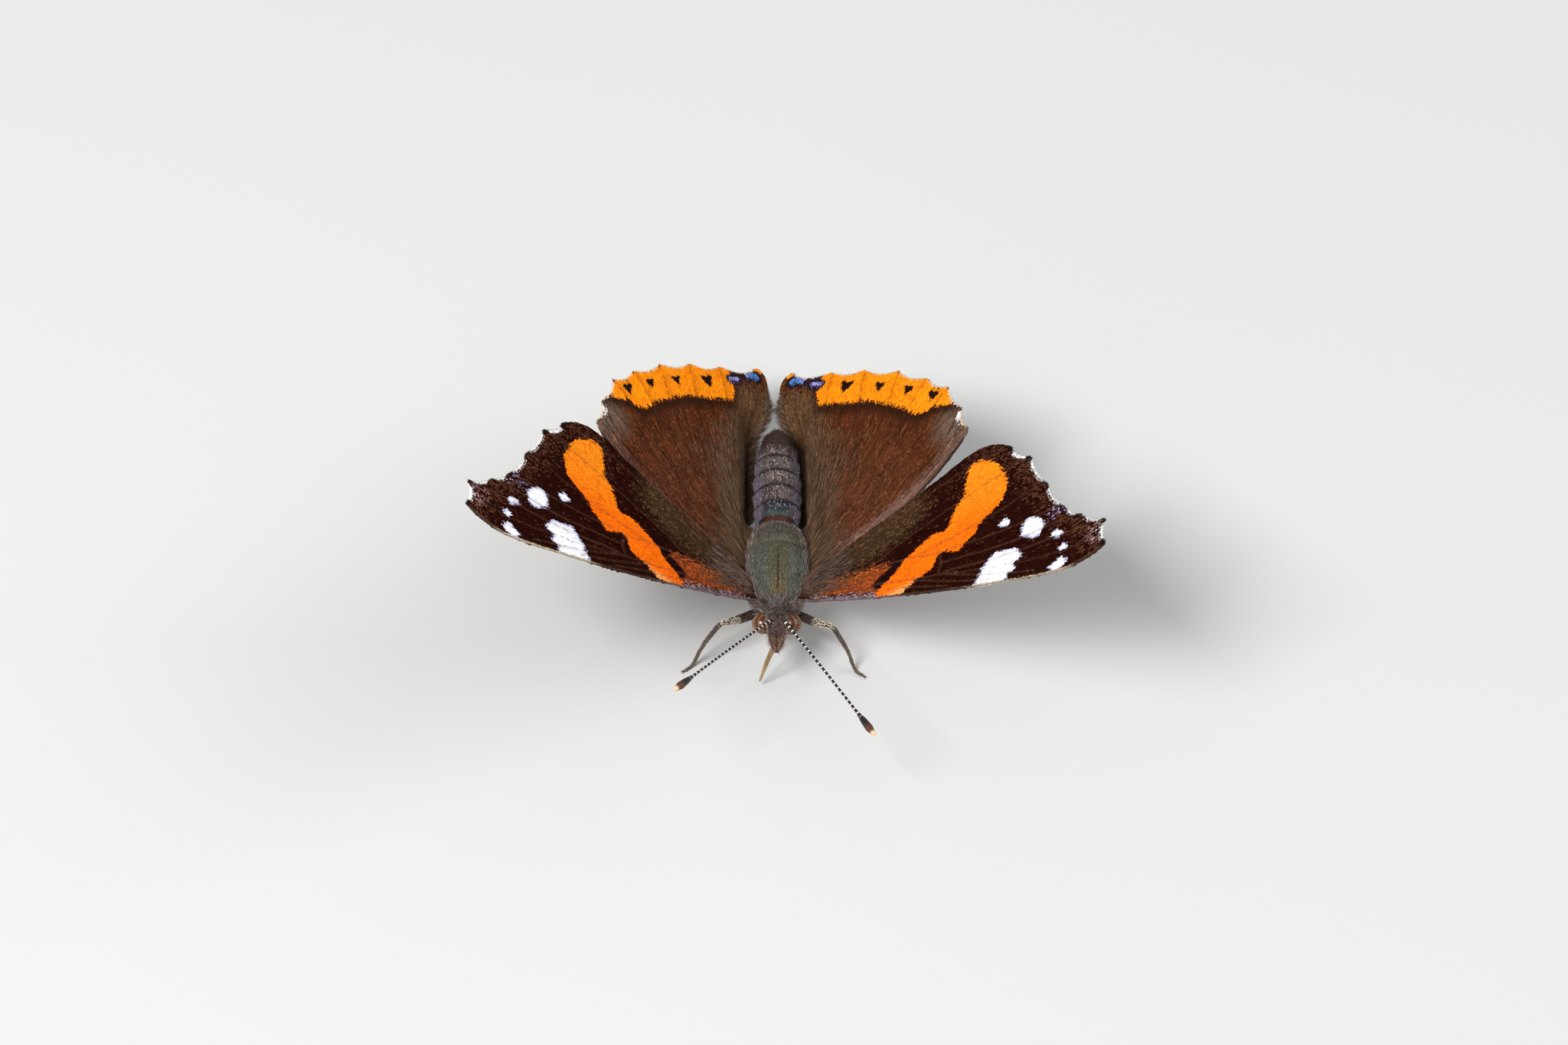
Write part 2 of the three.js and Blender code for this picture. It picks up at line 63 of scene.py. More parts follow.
# The camera sees the body from the front and above, turned and tipped a little
AZIMUTH = math.radians(-3)
ELEVATION = math.radians(52)
ROLL = math.radians(-4)
PIXELS_PER_MM = 16.35
PICTURE_WIDTH = 2048
AIM = (0.52, 5.84)
CAMERA_AWAY = 2.0
SENSOR = 36.0

# Wings are drawn flat in their own plane: u runs outward from the root and v forward
WING_RAISE = math.radians(42)
FOREWING_LENGTH = 31.0
CAMBER = 0.5
SCALLOP = 0.35
FRINGE_INSET = 0.28
MEMBRANE = 0.11
SAMPLE_GAP = 0.08
RIM_GAP = 0.06
VEIN_THICK = 0.3
VEIN_WIDTH = 0.28
VEIN_FADE = 1.2
FOLD = 0.12
RIPPLE = 0.06
PLAN_SPAN = 100
GUTTER = {
    "depth": 1.65, "edge": 0.8, "width": 2.8, "front": 6, "front_run": 3, "rear": 16.5, "rear_run": 3.5,
}

FOREWING = {
    "kind": "forewing",
    "root": (2.48, -0.37, 0.47),
    "sweep": 1.75,
    "grid": (170, 92),
    "tick": 0.7,
    "fringe": (0.32, 0.5),
    "costa": [
        (-1.7, -0.6), (0, 0.33), (5, 2.55), (9.3, 4.25), (15, 6.3),
        (20, 7.75), (26, 9.2), (28.5, 9.15), (30.5, 8.5),
    ],
    "vein_ends": [
        (30.5, 8.5), (30.5, 5.9), (28.1, 4.4), (26.4, 2.93),
        (24.7, -0.07), (22.9, -3.59), (20.75, -5.37),
    ],
    "dorsum": [
        (-1.7, -2.3), (1.5, -2.7), (5, -3.5), (10, -4.5),
        (14.7, -5.8), (17, -6.45), (19, -6.3), (20.75, -5.37),
    ],
    "veins": [
        [(-0.8, 0), (5, 2.1), (10, 3.9), (14.8, 5.9)],
        [(-0.8, -0.4), (5, 1.5), (10, 3.2), (13.6, 4.3), (20, 6.3), (26, 7.5), (30.3, 7.7)],
        [(11, 3.6), (15.5, 5.8), (18.6, 7.0)],
        [(14.6, 4.7), (19, 6.7), (23.4, 8.2)],
        [(14.2, 4.3), (21, 5.5), (30.3, 6)],
        [(13.9, 3.3), (21, 4.4), (27.9, 4.4)],
        [(13.6, 4.3), (14, 3.3), (13.7, 2.2)],
        [(13.7, 2.2), (20, 2.9), (26.2, 2.93)],
        [(-0.8, -1), (5, -0.1), (9, 0.9), (13.7, 2.2)],
        [(11.2, 1.5), (18, 1.0), (24.5, -0.07)],
        [(6.5, 0.25), (10, -0.7), (16, -2.0), (22.7, -3.5)],
        [(-0.8, -1.5), (8, -3), (16, -4.85), (20.5, -5.3)],
    ],
    "marks": {
        "band": [[
            (7.0, 3.3), (8.3, 3.95), (9.63, 4.3), (11.2, 3.8), (12.6, 3.4), (14.0, 2.3), (15.75, 2.8),
            (16.75, 2.0), (18.2, 0.9), (19.65, -0.15), (20.25, -1.35), (20.3, -2.6), (19.6, -3.85),
            (18.6, -4.75), (17.5, -5.12), (16.6, -4.8), (16.05, -3.7), (16.1, -2.4), (15.1, -1.4),
            (14.4, 0.0), (12.9, -0.1), (11.7, 0.25), (10.3, 1.0), (9.1, 1.8), (7.92, 2.57),
        ]],
        "white": [
            [
                (17.2, 7.2), (17.8, 6.5), (18.3, 5.6), (18.9, 5.1), (19.3, 4.6), (20.3, 4.85), (21.2, 5.05),
                (21.85, 5.6), (22.0, 6.25), (21.5, 6.6), (21.4, 7.15), (20.9, 7.4), (20.6, 8.0),
                (20.2, 8.5), (18, 8.3),
            ],
            [
                (22.0, 4.25), (22.1, 3.3), (22.8, 2.78), (23.6, 3.05),
                (24.2, 3.8), (24.15, 4.6), (23.3, 4.85),
            ],
            [(19.6, 2.15), (20.05, 1.68), (20.75, 2.0), (20.78, 2.4), (20.1, 2.5)],
            [(25.0, 5.4), (25.2, 5.1), (26.0, 5.4), (26.15, 5.85), (25.6, 5.95), (25.1, 5.7)],
            [(25.75, 6.9), (26.1, 6.65), (26.55, 6.95), (26.5, 7.45), (26.0, 7.4)],
            [(24.7, 8.5), (25.3, 8.2), (26.0, 7.9), (26.5, 8.2), (26.4, 8.7), (26.1, 9.1), (25.4, 9.2)],
        ],
        "black": [
            [(6.9, 2.1), (7.4, 2.75), (8.1, 2.45), (8.75, 1.75), (8.5, 1.35), (7.9, 1.5), (7.3, 1.7)],
            [(8.9, 1.5), (9.6, 1.3), (10.3, 0.75), (10.0, 0.35), (9.2, 0.6), (8.75, 1.0)],
        ],
        "lilac": [],
        "streak": [[
            (0, -0.9), (2, -0.65), (5, 0.0), (7, 0.5), (9, 1.0), (10.2, 1.2), (9.5, 1.9),
            (8.0, 2.8), (7.3, 3.2), (5, 2.2), (2.5, 1.1), (0, 0.1),
        ]],
        "strip": [[
            (-1.5, 0.0), (0, 0.15), (2.5, 1.2), (5, 2.25), (7.1, 3.2), (7.6, 3.9), (3.5, 2.5), (-1.5, 0.8),
        ]],
        "root": [[
            (-1.6, -3.2), (2, -3.4), (6, -4.2), (11, -5.2), (12, -3.2), (8, -0.9), (3, -0.9), (-1.6, -1),
        ]],
    },
}


HEART_TURN = math.radians(35.6)
HEART_OUTLINE = [
    (-0.5, 0.22), (-0.3, 0.4), (0.0, 0.3), (0.3, 0.4),
    (0.5, 0.22), (0.34, -0.08), (0.0, -0.42), (-0.34, -0.08),
]


def heart(u, v, width):
    """A small notched spot whose point turns towards the wing's root."""
    cosine = math.cos(HEART_TURN)
    sine = math.sin(HEART_TURN)
    return [
        (u + width * (x * cosine + y * sine), v + width * (x * sine - y * cosine))
        for x, y in HEART_OUTLINE
    ]


HINDWING = {
    "kind": "hindwing",
    "root": (2.48, 0.74, -0.95),
    "sweep": -0.8,
    "grid": (128, 168),
    "tick": 0.4,
    "fringe": (0.24, 0.38),
    "costa": [
        (-1.7, -1.5), (3, -2.0), (6, -2.4), (9, -3.2),
        (12, -4.5), (14.6, -6.1), (16.2, -7.4), (16.84, -8.22),
    ],
    "vein_ends": [
        (16.84, -8.22), (16.39, -10.82), (15.03, -13.68), (12.82, -15.74),
        (9.76, -18.1), (6.2, -20.14), (2.65, -21.8), (-1.76, -23.85),
    ],
    "dorsum": [
        (-1.7, -6), (-1.85, -9), (-1.95, -12), (-2.2, -17),
        (-2.6, -20), (-2.87, -22.7), (-2.6, -23.6), (-1.76, -23.85),
    ],
    "veins": [
        [(-0.6, -2.4), (4, -3.2), (10, -4.6), (16, -7.5)],
        [(1.5, -3.2), (7, -5.2), (12, -6.6), (16.6, -8.4)],
        [(5, -5.2), (8.5, -7), (16.2, -10.8)],
        [(7.4, -7), (10.5, -9.6), (14.9, -13.5)],
        [(6.6, -6.2), (7.4, -7.6), (7, -9.6)],
        [(7, -9.6), (9.6, -12), (12.7, -15.6)],
        [(-0.6, -3.4), (2.6, -6), (4.6, -8.6), (7, -9.6)],
        [(6, -9.3), (8, -13), (9.7, -17.9)],
        [(4.2, -8.2), (5, -13), (6.2, -19.9)],
        [(0.2, -5.4), (1, -12), (2.6, -21.6)],
        [(-0.9, -7), (-0.9, -13), (-1.5, -23.4)],
    ],
    "marks": {
        "band": [[
            (1.2, -18.9), (4.1, -17.6), (7.4, -15.9), (9.8, -14.0), (11.7, -12.4), (13.6, -12.2),
            (15.3, -11.7), (17.2, -11.4), (16.2, -13.9), (13.6, -16.9), (10.2, -19.2), (6.4, -21.2),
            (2.2, -23.0), (-2.2, -24.6), (-1.8, -23.2), (0.6, -22.2), (1.5, -21.4), (0.9, -20.3),
        ]],
        "white": [[(16.1, -9.2), (17.3, -9.0), (17.3, -10.6), (16.2, -10.6), (15.8, -9.9)]],
        "black": [heart(u, v, width) for u, v, width in (
            (13.25, -13.55, 1.2), (10.6, -15.5, 1.15), (7.6, -17.45, 1.15), (4.0, -19.4, 1.45),
        )],
        "lilac": [
            [(0.1, -21.65), (0.6, -21.15), (1.35, -20.85), (1.6, -21.1), (1.1, -21.5), (0.5, -21.85)],
            [(-1.9, -22.9), (-1.4, -22.45), (-0.6, -22.2), (-0.35, -22.4), (-0.9, -22.8), (-1.6, -23.15)],
        ],
        "streak": [],
        # The strip along the front edge is a painted pinkish sheen
        "strip": [[
            (1, -1.5), (9, -2.6), (14.8, -5.6), (17.2, -8.2), (16.0, -8.4), (14.4, -7.2), (11, -5.4),
            (7, -4.1), (2, -3.1),
        ]],
        "root": [[
            (-1.2, -1.9), (2.2, -3.2), (2.8, -6.5), (2.0, -12), (2.2, -17.5), (1.0, -20.3), (-2.5, -21.8),
            (-3.2, -17), (-2.6, -9),
        ]],
    },
}

# The skin lies inside the solids by the coat's depth: y, height of the centre, half width, half height
HEAD = [
    (-3.03, -0.9, 0.0, 0.0), (-2.95, -0.89, 0.45, 0.43), (-2.7, -0.87, 0.86, 0.83),
    (-2.4, -0.86, 1.07, 1.03), (-2.05, -0.85, 1.15, 1.1), (-1.6, -0.88, 1.04, 1.0),
    (-1.25, -0.98, 0.84, 0.84),
]
THORAX = [
    (-0.95, -1.15, 0.8, 0.8), (-0.6, -1.3, 1.1, 1.12), (0, -1.38, 1.6, 1.65),
    (1.2, -1.28, 2.1, 2.25), (3.2, -1.2, 2.28, 2.5), (5.2, -1.27, 2.2, 2.3),
    (6.6, -1.35, 1.85, 1.8), (7.3, -1.42, 1.52, 1.42),
]
ABDOMEN = [
    (7.9, -1.45, 1.5, 1.38), (8.6, -1.45, 1.62, 1.5), (11, -1.48, 1.74, 1.66),
    (13.5, -1.53, 1.66, 1.58), (15.5, -1.6, 1.42, 1.33), (17, -1.65, 0.98, 0.92),
    (17.7, -1.68, 0.5, 0.46), (17.95, -1.7, 0.0, 0.0),
]
BODY_SIDES = 64
BODY_STEP = 0.1
BODY_ENDS = (0.004, 0.996)
LOBE_GROOVE = {"depth": 0.13, "width": 0.2}
CROSS_GROOVE = {"depth": 0.22, "width": 0.3, "y": 4.9}
SEGMENTS = {"first": 8.1, "length": 1.58, "swell": 0.07}
# The eye's pole centres its painted pseudopupil
EYE = {"centre": (1.15, -2.15, -0.95), "radius": 0.85, "pole": (-0.45, -0.45, 0.77), "rim_locks": 160}
PALP = {
    "path": [(0.36, -2.4, -1.5), (0.31, -3.2, -1.6), (0.19, -4.1, -1.42), (0.08, -4.7, -1.3)],
    "radii": (0.32, 0.3, 0.19, 0.06),
}
ANTENNA = {
    "base": (0.5, -2.55, 0.1),
    "left": (7.2, -13, 2.2),
    "right": (-7.9, -11.5, 5.4),
    "bow": 0.12,
    "radii": (0.16, 0.12, *(0.11,) * 11, 0.13, 0.27, 0.33, 0.15),
    "joints": 28,
}
PROBOSCIS = {
    "path": [(0, -2.6, -2.1), (-0.12, -2.85, -2.75), (-0.6, -3.4, -4.1), (-1.15, -3.8, -6.4)],
    "radii": (0.14, 0.12, 0.1, 0.06),
    "apart": (0.11, 0.1, 0.085, 0.04),
}
LEGS = {
    "foreleg": [(0.7, -0.1, -2.7), (0.95, -0.6, -3.35), (0.9, -0.35, -4.1), (0.7, 0.45, -4.6)],
    "midleg": [
        (1.2, 0.9, -3.2), (2.8, -0.2, -2.9), (4.4, -1.4, -2.1), (5.2, -1.5, -3.5), (5.9, -1.7, -5.0),
        (6.3, -1.85, -6.3), (6.6, -2.1, -6.84), (7.2, -2.6, -6.86),
    ],
    "hindleg": [
        (1.2, 3.4, -3.2), (2.4, 4.6, -3.5), (3.6, 5.8, -2.7), (4.4, 7.2, -4.2), (5.2, 8.8, -5.8),
        (5.7, 9.9, -6.5), (6.2, 10.9, -6.84), (6.55, 11.6, -6.86),
    ],
}
LEG_RADII = (0.4, 0.36, 0.3, 0.19, 0.17, 0.13, 0.12, 0.1)
FORELEG_RADII = (0.3, 0.32, 0.26, 0.14)
CLAW = {
    "path": [(-0.08, 0.02, 0.0), (0.1, 0.07, 0.03), (0.22, 0.1, -0.01), (0.27, 0.11, -0.09)],
    "radii": (0.05, 0.045, 0.03, 0.008),
}

# A lock's bend: it rises off the skin at first and levels out, and its root is sunk in the skin
LOCK_RISE = 1.3
LOCK_LEVEL = 0.8
LOCK_SUNK = 0.1
LOCK_LEAN = 0.3
UNWRAP_PATCH = 0.003
UNWRAP_SPAN = 0.99

SCALE_SHAPE = {"row": 0.17, "column": 0.14, "length": 0.34, "half_width": 0.1, "thickness": 0.12}
SCALES_BELOW = 1.34
FIRST_SCALES = 0.04
FRINGE_GAP = 0.014
FRINGE_WIDTH = 0.034
INNER_HAIRS = 1900


# Lines and curves
def place(point):
    """Metres of the frame from the body's millimetres."""
    return ORIGIN + Vector(point) * MM


def smooth(value):
    """0 up to 0, 1 from 1 on, and an even rise between."""
    k = min(max(value, 0.0), 1.0)
    return k * k * (3 - 2 * k)


def mirrored(points, side):
    return [(x * side, y, z) for x, y, z in points]


def curve_point(p0, p1, p2, p3, k):
    """A place between p1 and p2 on the centripetal curve through all four."""
    t1 = (p1 - p0).length ** 0.5
    t2 = t1 + (p2 - p1).length ** 0.5
    t3 = t2 + (p3 - p2).length ** 0.5
    t = t1 + (t2 - t1) * k
    a1 = p0.lerp(p1, t / t1)
    a2 = p1.lerp(p2, (t - t1) / (t2 - t1))
    a3 = p2.lerp(p3, (t - t2) / (t3 - t2))
    b1 = a1.lerp(a2, t / t2)
    b2 = a2.lerp(a3, (t - t1) / (t3 - t1))
    return b1.lerp(b2, (t - t1) / (t2 - t1))


def spline(points, steps=10):
    """A smooth line through all the points. Flat points have a height of nothing."""
    knots = [Vector(p) if len(p) > 2 else Vector((*p, 0.0)) for p in points]
    knots = [knots[0] * 2 - knots[1], *knots, knots[-1] * 2 - knots[-2]]
    line = []
    for i in range(1, len(knots) - 2):
        line += [curve_point(*knots[i - 1:i + 3], k / steps) for k in range(steps)]
    return [*line, knots[-2]]


class Track:
    """A line whose places are found by their share of its length."""

    def __init__(self, points):
        self.points = points
        self.reach = [0.0]
        for start, end in zip(points, points[1:]):
            self.reach.append(self.reach[-1] + (end - start).length)

    def at(self, share):
        target = min(max(share, 0.0), 1.0) * self.reach[-1]
        index = min(bisect.bisect_right(self.reach, target), len(self.points) - 1)
        before = self.reach[index - 1]
        span = max(self.reach[index] - before, 1e-9)
        return self.points[index - 1].lerp(self.points[index], (target - before) / span)

    def heading(self, share, step=0.01):
        return (self.at(share + step) - self.at(share - step)).normalized()

    def evenly(self, gap):
        count = max(2, int(self.reach[-1] / gap))
        return [self.at(i / count) for i in range(count + 1)]


def nearest_finder(points):
    tree = kdtree.KDTree(len(points))
    for index, point in enumerate(points):
        tree.insert(point, index)
    tree.balance()
    return tree


class Patch:
    """One outlined patch of colour on a wing's plan."""

    def __init__(self, outline):
        self.loop = spline([*outline, outline[0]], 6)[:-1]
        self.rim = Track([*self.loop, self.loop[0]]).evenly(RIM_GAP)
        self.low = [min(point[axis] for point in self.loop) for axis in (0, 1)]
        self.high = [max(point[axis] for point in self.loop) for axis in (0, 1)]

    def holds(self, point):
        if any(not self.low[axis] < point[axis] < self.high[axis] for axis in (0, 1)):
            return False
        found = False
        for a, b in zip(self.loop, [*self.loop[1:], self.loop[0]]):
            if (a.y > point.y) != (b.y > point.y):
                if point.x < (b.x - a.x) * (point.y - a.y) / (b.y - a.y) + a.x:
                    found = not found
        return found


FAR_OUTSIDE = -9.0


class Mark:
    """Patches of one colour, asked how far inside them a place lies, in millimetres."""

    def __init__(self, outlines):
        self.patches = [Patch(outline) for outline in outlines]
        self.tree = nearest_finder([point for patch in self.patches for point in patch.rim])

    def depth(self, point):
        if not self.patches:
            return FAR_OUTSIDE
        distance = self.tree.find(point)[2]
        return distance if any(patch.holds(point) for patch in self.patches) else -distance


# Shapes that carry a skin: each gives the place, the way out and the lie of the coat for two shares
def scalloped(ends):
    """The outer margin from the front to the rear, pulled in between vein ends."""
    line = []
    for start, end in zip(ends, ends[1:]):
        run = Vector((end[0] - start[0], end[1] - start[1], 0))
        inward = Vector((run.y, -run.x, 0)).normalized() * min(SCALLOP, 0.12 * run.length)
        steps = max(8, int(run.length / 0.12))
        for k in range(steps):
            line.append(Vector((*start, 0)) + run * (k / steps) + inward * math.sin(math.pi * k / steps))
    return [*line, Vector((*ends[-1], 0))]


class Wing:
    """One wing: shares run from the root to the margin and from the rear to the front."""

    def __init__(self, shape, side):
        self.shape = shape
        self.side = side
        self.facing = 1
        self.root = Vector(shape["root"])
        self.swing = math.radians(shape["sweep"] * side)
        self.front = Track(spline(shape["costa"]))
        self.rear = Track(spline(shape["dorsum"]))
        self.outer = Track(list(reversed(scalloped(shape["vein_ends"]))))
        veins = [point for vein in shape["veins"] for point in Track(spline(vein)).evenly(SAMPLE_GAP)]
        self.veins = nearest_finder([*veins, *self.front.evenly(SAMPLE_GAP)])
        self.vein_ends = nearest_finder([Vector((*end, 0)) for end in shape["vein_ends"]])
        self.edge = nearest_finder(self.outer.evenly(RIM_GAP))
        self.marks = {name: Mark(outlines) for name, outlines in shape["marks"].items()}

    def margin(self, t):
        """A place on the membrane's outer edge and the way that the fringe points from it."""
        heading = self.outer.heading(t, 0.006)
        outward = Vector((heading.y, -heading.x, 0))
        inset = FRINGE_INSET * smooth(min(t, 1 - t) / 0.05)
        return self.outer.at(t) - outward * inset, outward

    def plan(self, s, t):
        """The flat place between the four edges."""
        low = self.rear.at(0)
        high = self.front.at(0)
        along = low.lerp(high, t).lerp(self.margin(t)[0], s)
        across = self.rear.at(s).lerp(self.front.at(s), t)
        corners = low.lerp(high, t).lerp(self.margin(0)[0].lerp(self.margin(1)[0], t), s)
        return across + along - corners

    def relief(self, point, s):
        """The membrane sags between the veins and ripples a little."""
        sag = FOLD * (smooth(self.veins.find(point)[2] / 1.1) - 0.5)
        return -(sag + RIPPLE * noise.noise(point * 0.7)) * smooth((1 - s) / 0.05)

    def thickness(self, point):
        """The membrane is thicker along its veins, which fade out before the margin."""
        beside = 1 - smooth(self.veins.find(point)[2] / VEIN_WIDTH)
        inside = smooth(self.edge.find(point)[2] / VEIN_FADE)
        return MEMBRANE + (VEIN_THICK - MEMBRANE) * (beside * inside)

    def height(self, point):
        rise = CAMBER * (math.sin(math.pi * max(point.x, 0) / FOREWING_LENGTH) - 0.5)
        if self.shape is HINDWING:
            inward = smooth((GUTTER["edge"] - point.x) / GUTTER["width"])
            begun = smooth((-point.y - GUTTER["front"]) / GUTTER["front_run"])
            ended = smooth((-point.y - GUTTER["rear"]) / GUTTER["rear_run"])
            rise -= GUTTER["depth"] * inward * begun * (1 - ended)
        return rise

    def lifted(self, point, above=0.0):
        """A plan place raised to where it is on the body."""
        w = self.height(point) + above
        across = point.x * math.cos(self.swing) - point.y * math.sin(self.swing)
        ahead = point.x * math.sin(self.swing) + point.y * math.cos(self.swing)
        out = self.root.x + across * math.cos(WING_RAISE) - w * math.sin(WING_RAISE)
        up = self.root.z + across * math.sin(WING_RAISE) + w * math.cos(WING_RAISE)
        return Vector((self.side * out, self.root.y - ahead, up))

    def directions(self, point, outward):
        """The way out of the upper side and the raised form of a flat direction."""
        step = 0.1
        start = self.lifted(point)
        along = self.lifted(point + Vector((step, 0, 0))) - start
        ahead = self.lifted(point + Vector((0, step, 0))) - start
        lie = (self.lifted(point + outward * step) - start).normalized()
        return (ahead.cross(along) * self.side).normalized(), lie

    def skin(self, s, t):
        point = self.plan(s, t)
        up, lie = self.directions(point, (self.plan(s + 0.02, t) - point).normalized())
        above = self.relief(point, s) + self.facing * self.thickness(point) / 2
        return self.lifted(point, above), up * self.facing, lie

    def readings(self, point):
        """What a wing's material asks of each place: how deep each mark lies and what is near."""
        found = {name: mark.depth(point) for name, mark in self.marks.items()}
        found["vein"] = self.veins.find(point)[2]
        found["edge"] = self.edge.find(point)[2]
        found["tick"] = self.vein_ends.find(point)[2] - self.shape["tick"]
        return found


class Body:
    """Head, thorax and abdomen as one loft: shares run from the face to the tail and round it."""

    def __init__(self):
        self.line = Track(spline([*HEAD, *THORAX, *ABDOMEN]))

    @staticmethod
    def swell(y):
        """An abdomen segment stands out more towards its rear edge, then drops under the next one."""
        if y < SEGMENTS["first"]:
            return 1.0
        phase = (y - SEGMENTS["first"]) / SEGMENTS["length"] % 1
        bulge = smooth(phase / 0.75) * (1 - smooth((phase - 0.8) / 0.2))
        return 1 + SEGMENTS["swell"] * (bulge - 0.6)

    def at(self, share, turn):
        """A place on the skin. The back has a groove along its middle and one across its rear."""
        y, z, wide, high = self.line.at(share)
        angle = (turn - 0.5) * 2 * math.pi
        swell = self.swell(y)
        x = wide * swell * math.sin(angle)
        groove = 0.0
        if math.cos(angle) > 0:
            lobes = smooth((y + 0.2) / 1.2) * (1 - smooth((y - 3.4) / 0.8))
            groove = LOBE_GROOVE["depth"] * lobes * math.exp(-(x / LOBE_GROOVE["width"]) ** 2)
            beside = (y - CROSS_GROOVE["y"]) / CROSS_GROOVE["width"]
            groove += CROSS_GROOVE["depth"] * math.exp(-beside ** 2)
        return Vector((x, y, z + high * swell * math.cos(angle) - groove))

    def skin(self, share, turn):
        share = min(max(share, BODY_ENDS[0]), BODY_ENDS[1])
        lie = self.at(share + 0.003, turn) - self.at(share - 0.003, turn)
        around = self.at(share, turn + 0.005) - self.at(share, turn - 0.005)
        return self.at(share, turn), around.cross(lie).normalized(), lie.normalized()


class Limb:
    """A round limb along a path: shares run from its root to its end and round it."""

    def __init__(self, path, radii):
        self.line = Track(spline(path))
        self.radii = radii
        self.level = (Vector(path[-1]) - Vector(path[0])).cross(Vector((0, 0, 1))).normalized()

    def radius(self, share):
        scaled = share * (len(self.radii) - 1)
        index = min(int(scaled), len(self.radii) - 2)
        start, end = self.radii[index:index + 2]
        return start + (end - start) * (scaled - index)

    def ring(self, share, radius):
        """The frame that sets a unit circle round the limb at this share of its length."""
        heading = self.line.heading(share)
        across = (self.level - heading * self.level.dot(heading)).normalized()
        turned = Matrix((across * radius, heading.cross(across) * radius, heading)).transposed().to_4x4()
        turned.translation = self.line.at(share)
        return turned

    def skin(self, share, turn):
        ring = self.ring(share, 1.0)
        angle = turn * 2 * math.pi
        up = (ring.to_3x3() @ Vector((math.cos(angle), math.sin(angle), 0))).normalized()
        return self.line.at(share) + up * self.radius(share), up, self.line.heading(share)


# Pieces
def finish_piece(name, mesh, materials, slot_name, replaced=(), rounded=True):
    for material in materials:
        mesh.materials.append(material)
    mesh.polygons.foreach_set("use_smooth", [rounded] * len(mesh.polygons))
    piece = bpy.data.objects.new(name, mesh)
    bpy.context.scene.collection.objects.link(piece)
    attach(piece, "root")
    if replaced:
        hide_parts(*replaced)
    return piece


def new_piece(name, bm, materials, slot_name, replaced=()):
    mesh = bpy.data.meshes.new(name)
    bm.to_mesh(mesh)
    bm.free()
    return finish_piece(name, mesh, materials, slot_name, replaced)


def plan_uv(point):
    """A wing's plan as a UV map: a hundred millimetres to the unit, round its middle."""
    return (point.x / PLAN_SPAN + 0.5, point.y / PLAN_SPAN + 0.5)


def wing_piece(wing, name, materials):
    """A grid drawn into the wing's plan, thicker along its veins, that knows how deep each mark lies."""
    along, across = wing.shape["grid"]
    bm = bmesh.new()
    plan_map = bm.loops.layers.uv.new("Plan")
    lie_map = bm.loops.layers.uv.new("Lie")
    bmesh.ops.create_grid(bm, x_segments=along, y_segments=across, size=0.5)
    layers = {label: bm.verts.layers.float.new(label) for label in (*wing.marks, "vein", "edge", "tick")}
    weights = bm.verts.layers.deform.verify()
    spots = {}
    for vert in bm.verts:
        s = vert.co.x + 0.5
        t = vert.co.y + 0.5
        point = wing.plan(s, t)
        spots[vert] = (point, s, t)
        for label, value in wing.readings(point).items():
            vert[layers[label]] = value
        vert[weights][0] = wing.thickness(point) / VEIN_THICK
        vert.co = place(wing.lifted(point, wing.relief(point, s)))
    for face in bm.faces:
        for loop in face.loops:
            point, s, t = spots[loop.vert]
            loop[plan_map].uv = plan_uv(point)
            loop[lie_map].uv = (s, t)
    if wing.side > 0:
        bmesh.ops.reverse_faces(bm, faces=bm.faces)
    piece = new_piece(f"{name}_membrane", bm, materials, wing.shape["kind"], (name,))
    piece.vertex_groups.new(name="veins")
    solid = piece.modifiers.new("Thickness", "SOLIDIFY")
    solid.thickness = VEIN_THICK * MM
    solid.offset = 0
    solid.vertex_group = "veins"
    solid.material_offset = 1
    solid.material_offset_rim = 2


def body_piece(body, material):
    """A grid rolled into the body's loft and welded along its underside."""
    rings = int(body.line.reach[-1] / BODY_STEP)
    bm = bmesh.new()
    unwrap = bm.loops.layers.uv.new("Unwrap")
    bmesh.ops.create_grid(bm, x_segments=rings, y_segments=BODY_SIDES, size=0.5)
    shares = {vert: (vert.co.x + 0.5, vert.co.y + 0.5) for vert in bm.verts}
    for vert in bm.verts:
        vert.co = place(body.at(*shares[vert]))
    for face in bm.faces:
        for loop in face.loops:
            loop[unwrap].uv = shares[loop.vert]
    bmesh.ops.remove_doubles(bm, verts=bm.verts, dist=0.002 * MM)
    bmesh.ops.recalc_face_normals(bm, faces=bm.faces)
    new_piece("body_skin", bm, [material], "thorax", ("thorax", "abdomen", "head"))


def limb_piece(name, limb, material, slot_name, replaced=(), sides=14, rings=60):
    """A limb drawn out ring by ring from one circle and closed at both ends."""
    bm = bmesh.new()
    along = bm.verts.layers.float.new("along")
    verts = bmesh.ops.create_circle(bm, cap_ends=True, segments=sides, radius=1.0)["verts"]
    edges = list({edge for vert in verts for edge in vert.link_edges})
    before = Matrix.Identity(4)
    for i in range(rings):
        share = i / (rings - 1)
        rounded = math.sqrt(min(1.0, (min(i, rings - 1 - i) + 0.3) / 3))
        ring = limb.ring(share, limb.radius(share) * rounded)
        if i > 0:
            drawn = bmesh.ops.extrude_edge_only(bm, edges=edges)["geom"]
            verts = [item for item in drawn if isinstance(item, bmesh.types.BMVert)]
            edges = [item for item in drawn if isinstance(item, bmesh.types.BMEdge)]
        bmesh.ops.transform(bm, matrix=ring @ before.inverted(), verts=verts)
        for vert in verts:
            vert[along] = share
        before = ring
    bmesh.ops.edgeloop_fill(bm, edges=edges)
    bmesh.ops.scale(bm, vec=(MM, MM, MM), verts=bm.verts)
    bmesh.ops.translate(bm, vec=ORIGIN, verts=bm.verts)
    bmesh.ops.recalc_face_normals(bm, faces=bm.faces)
    new_piece(name, bm, [material], slot_name, replaced)


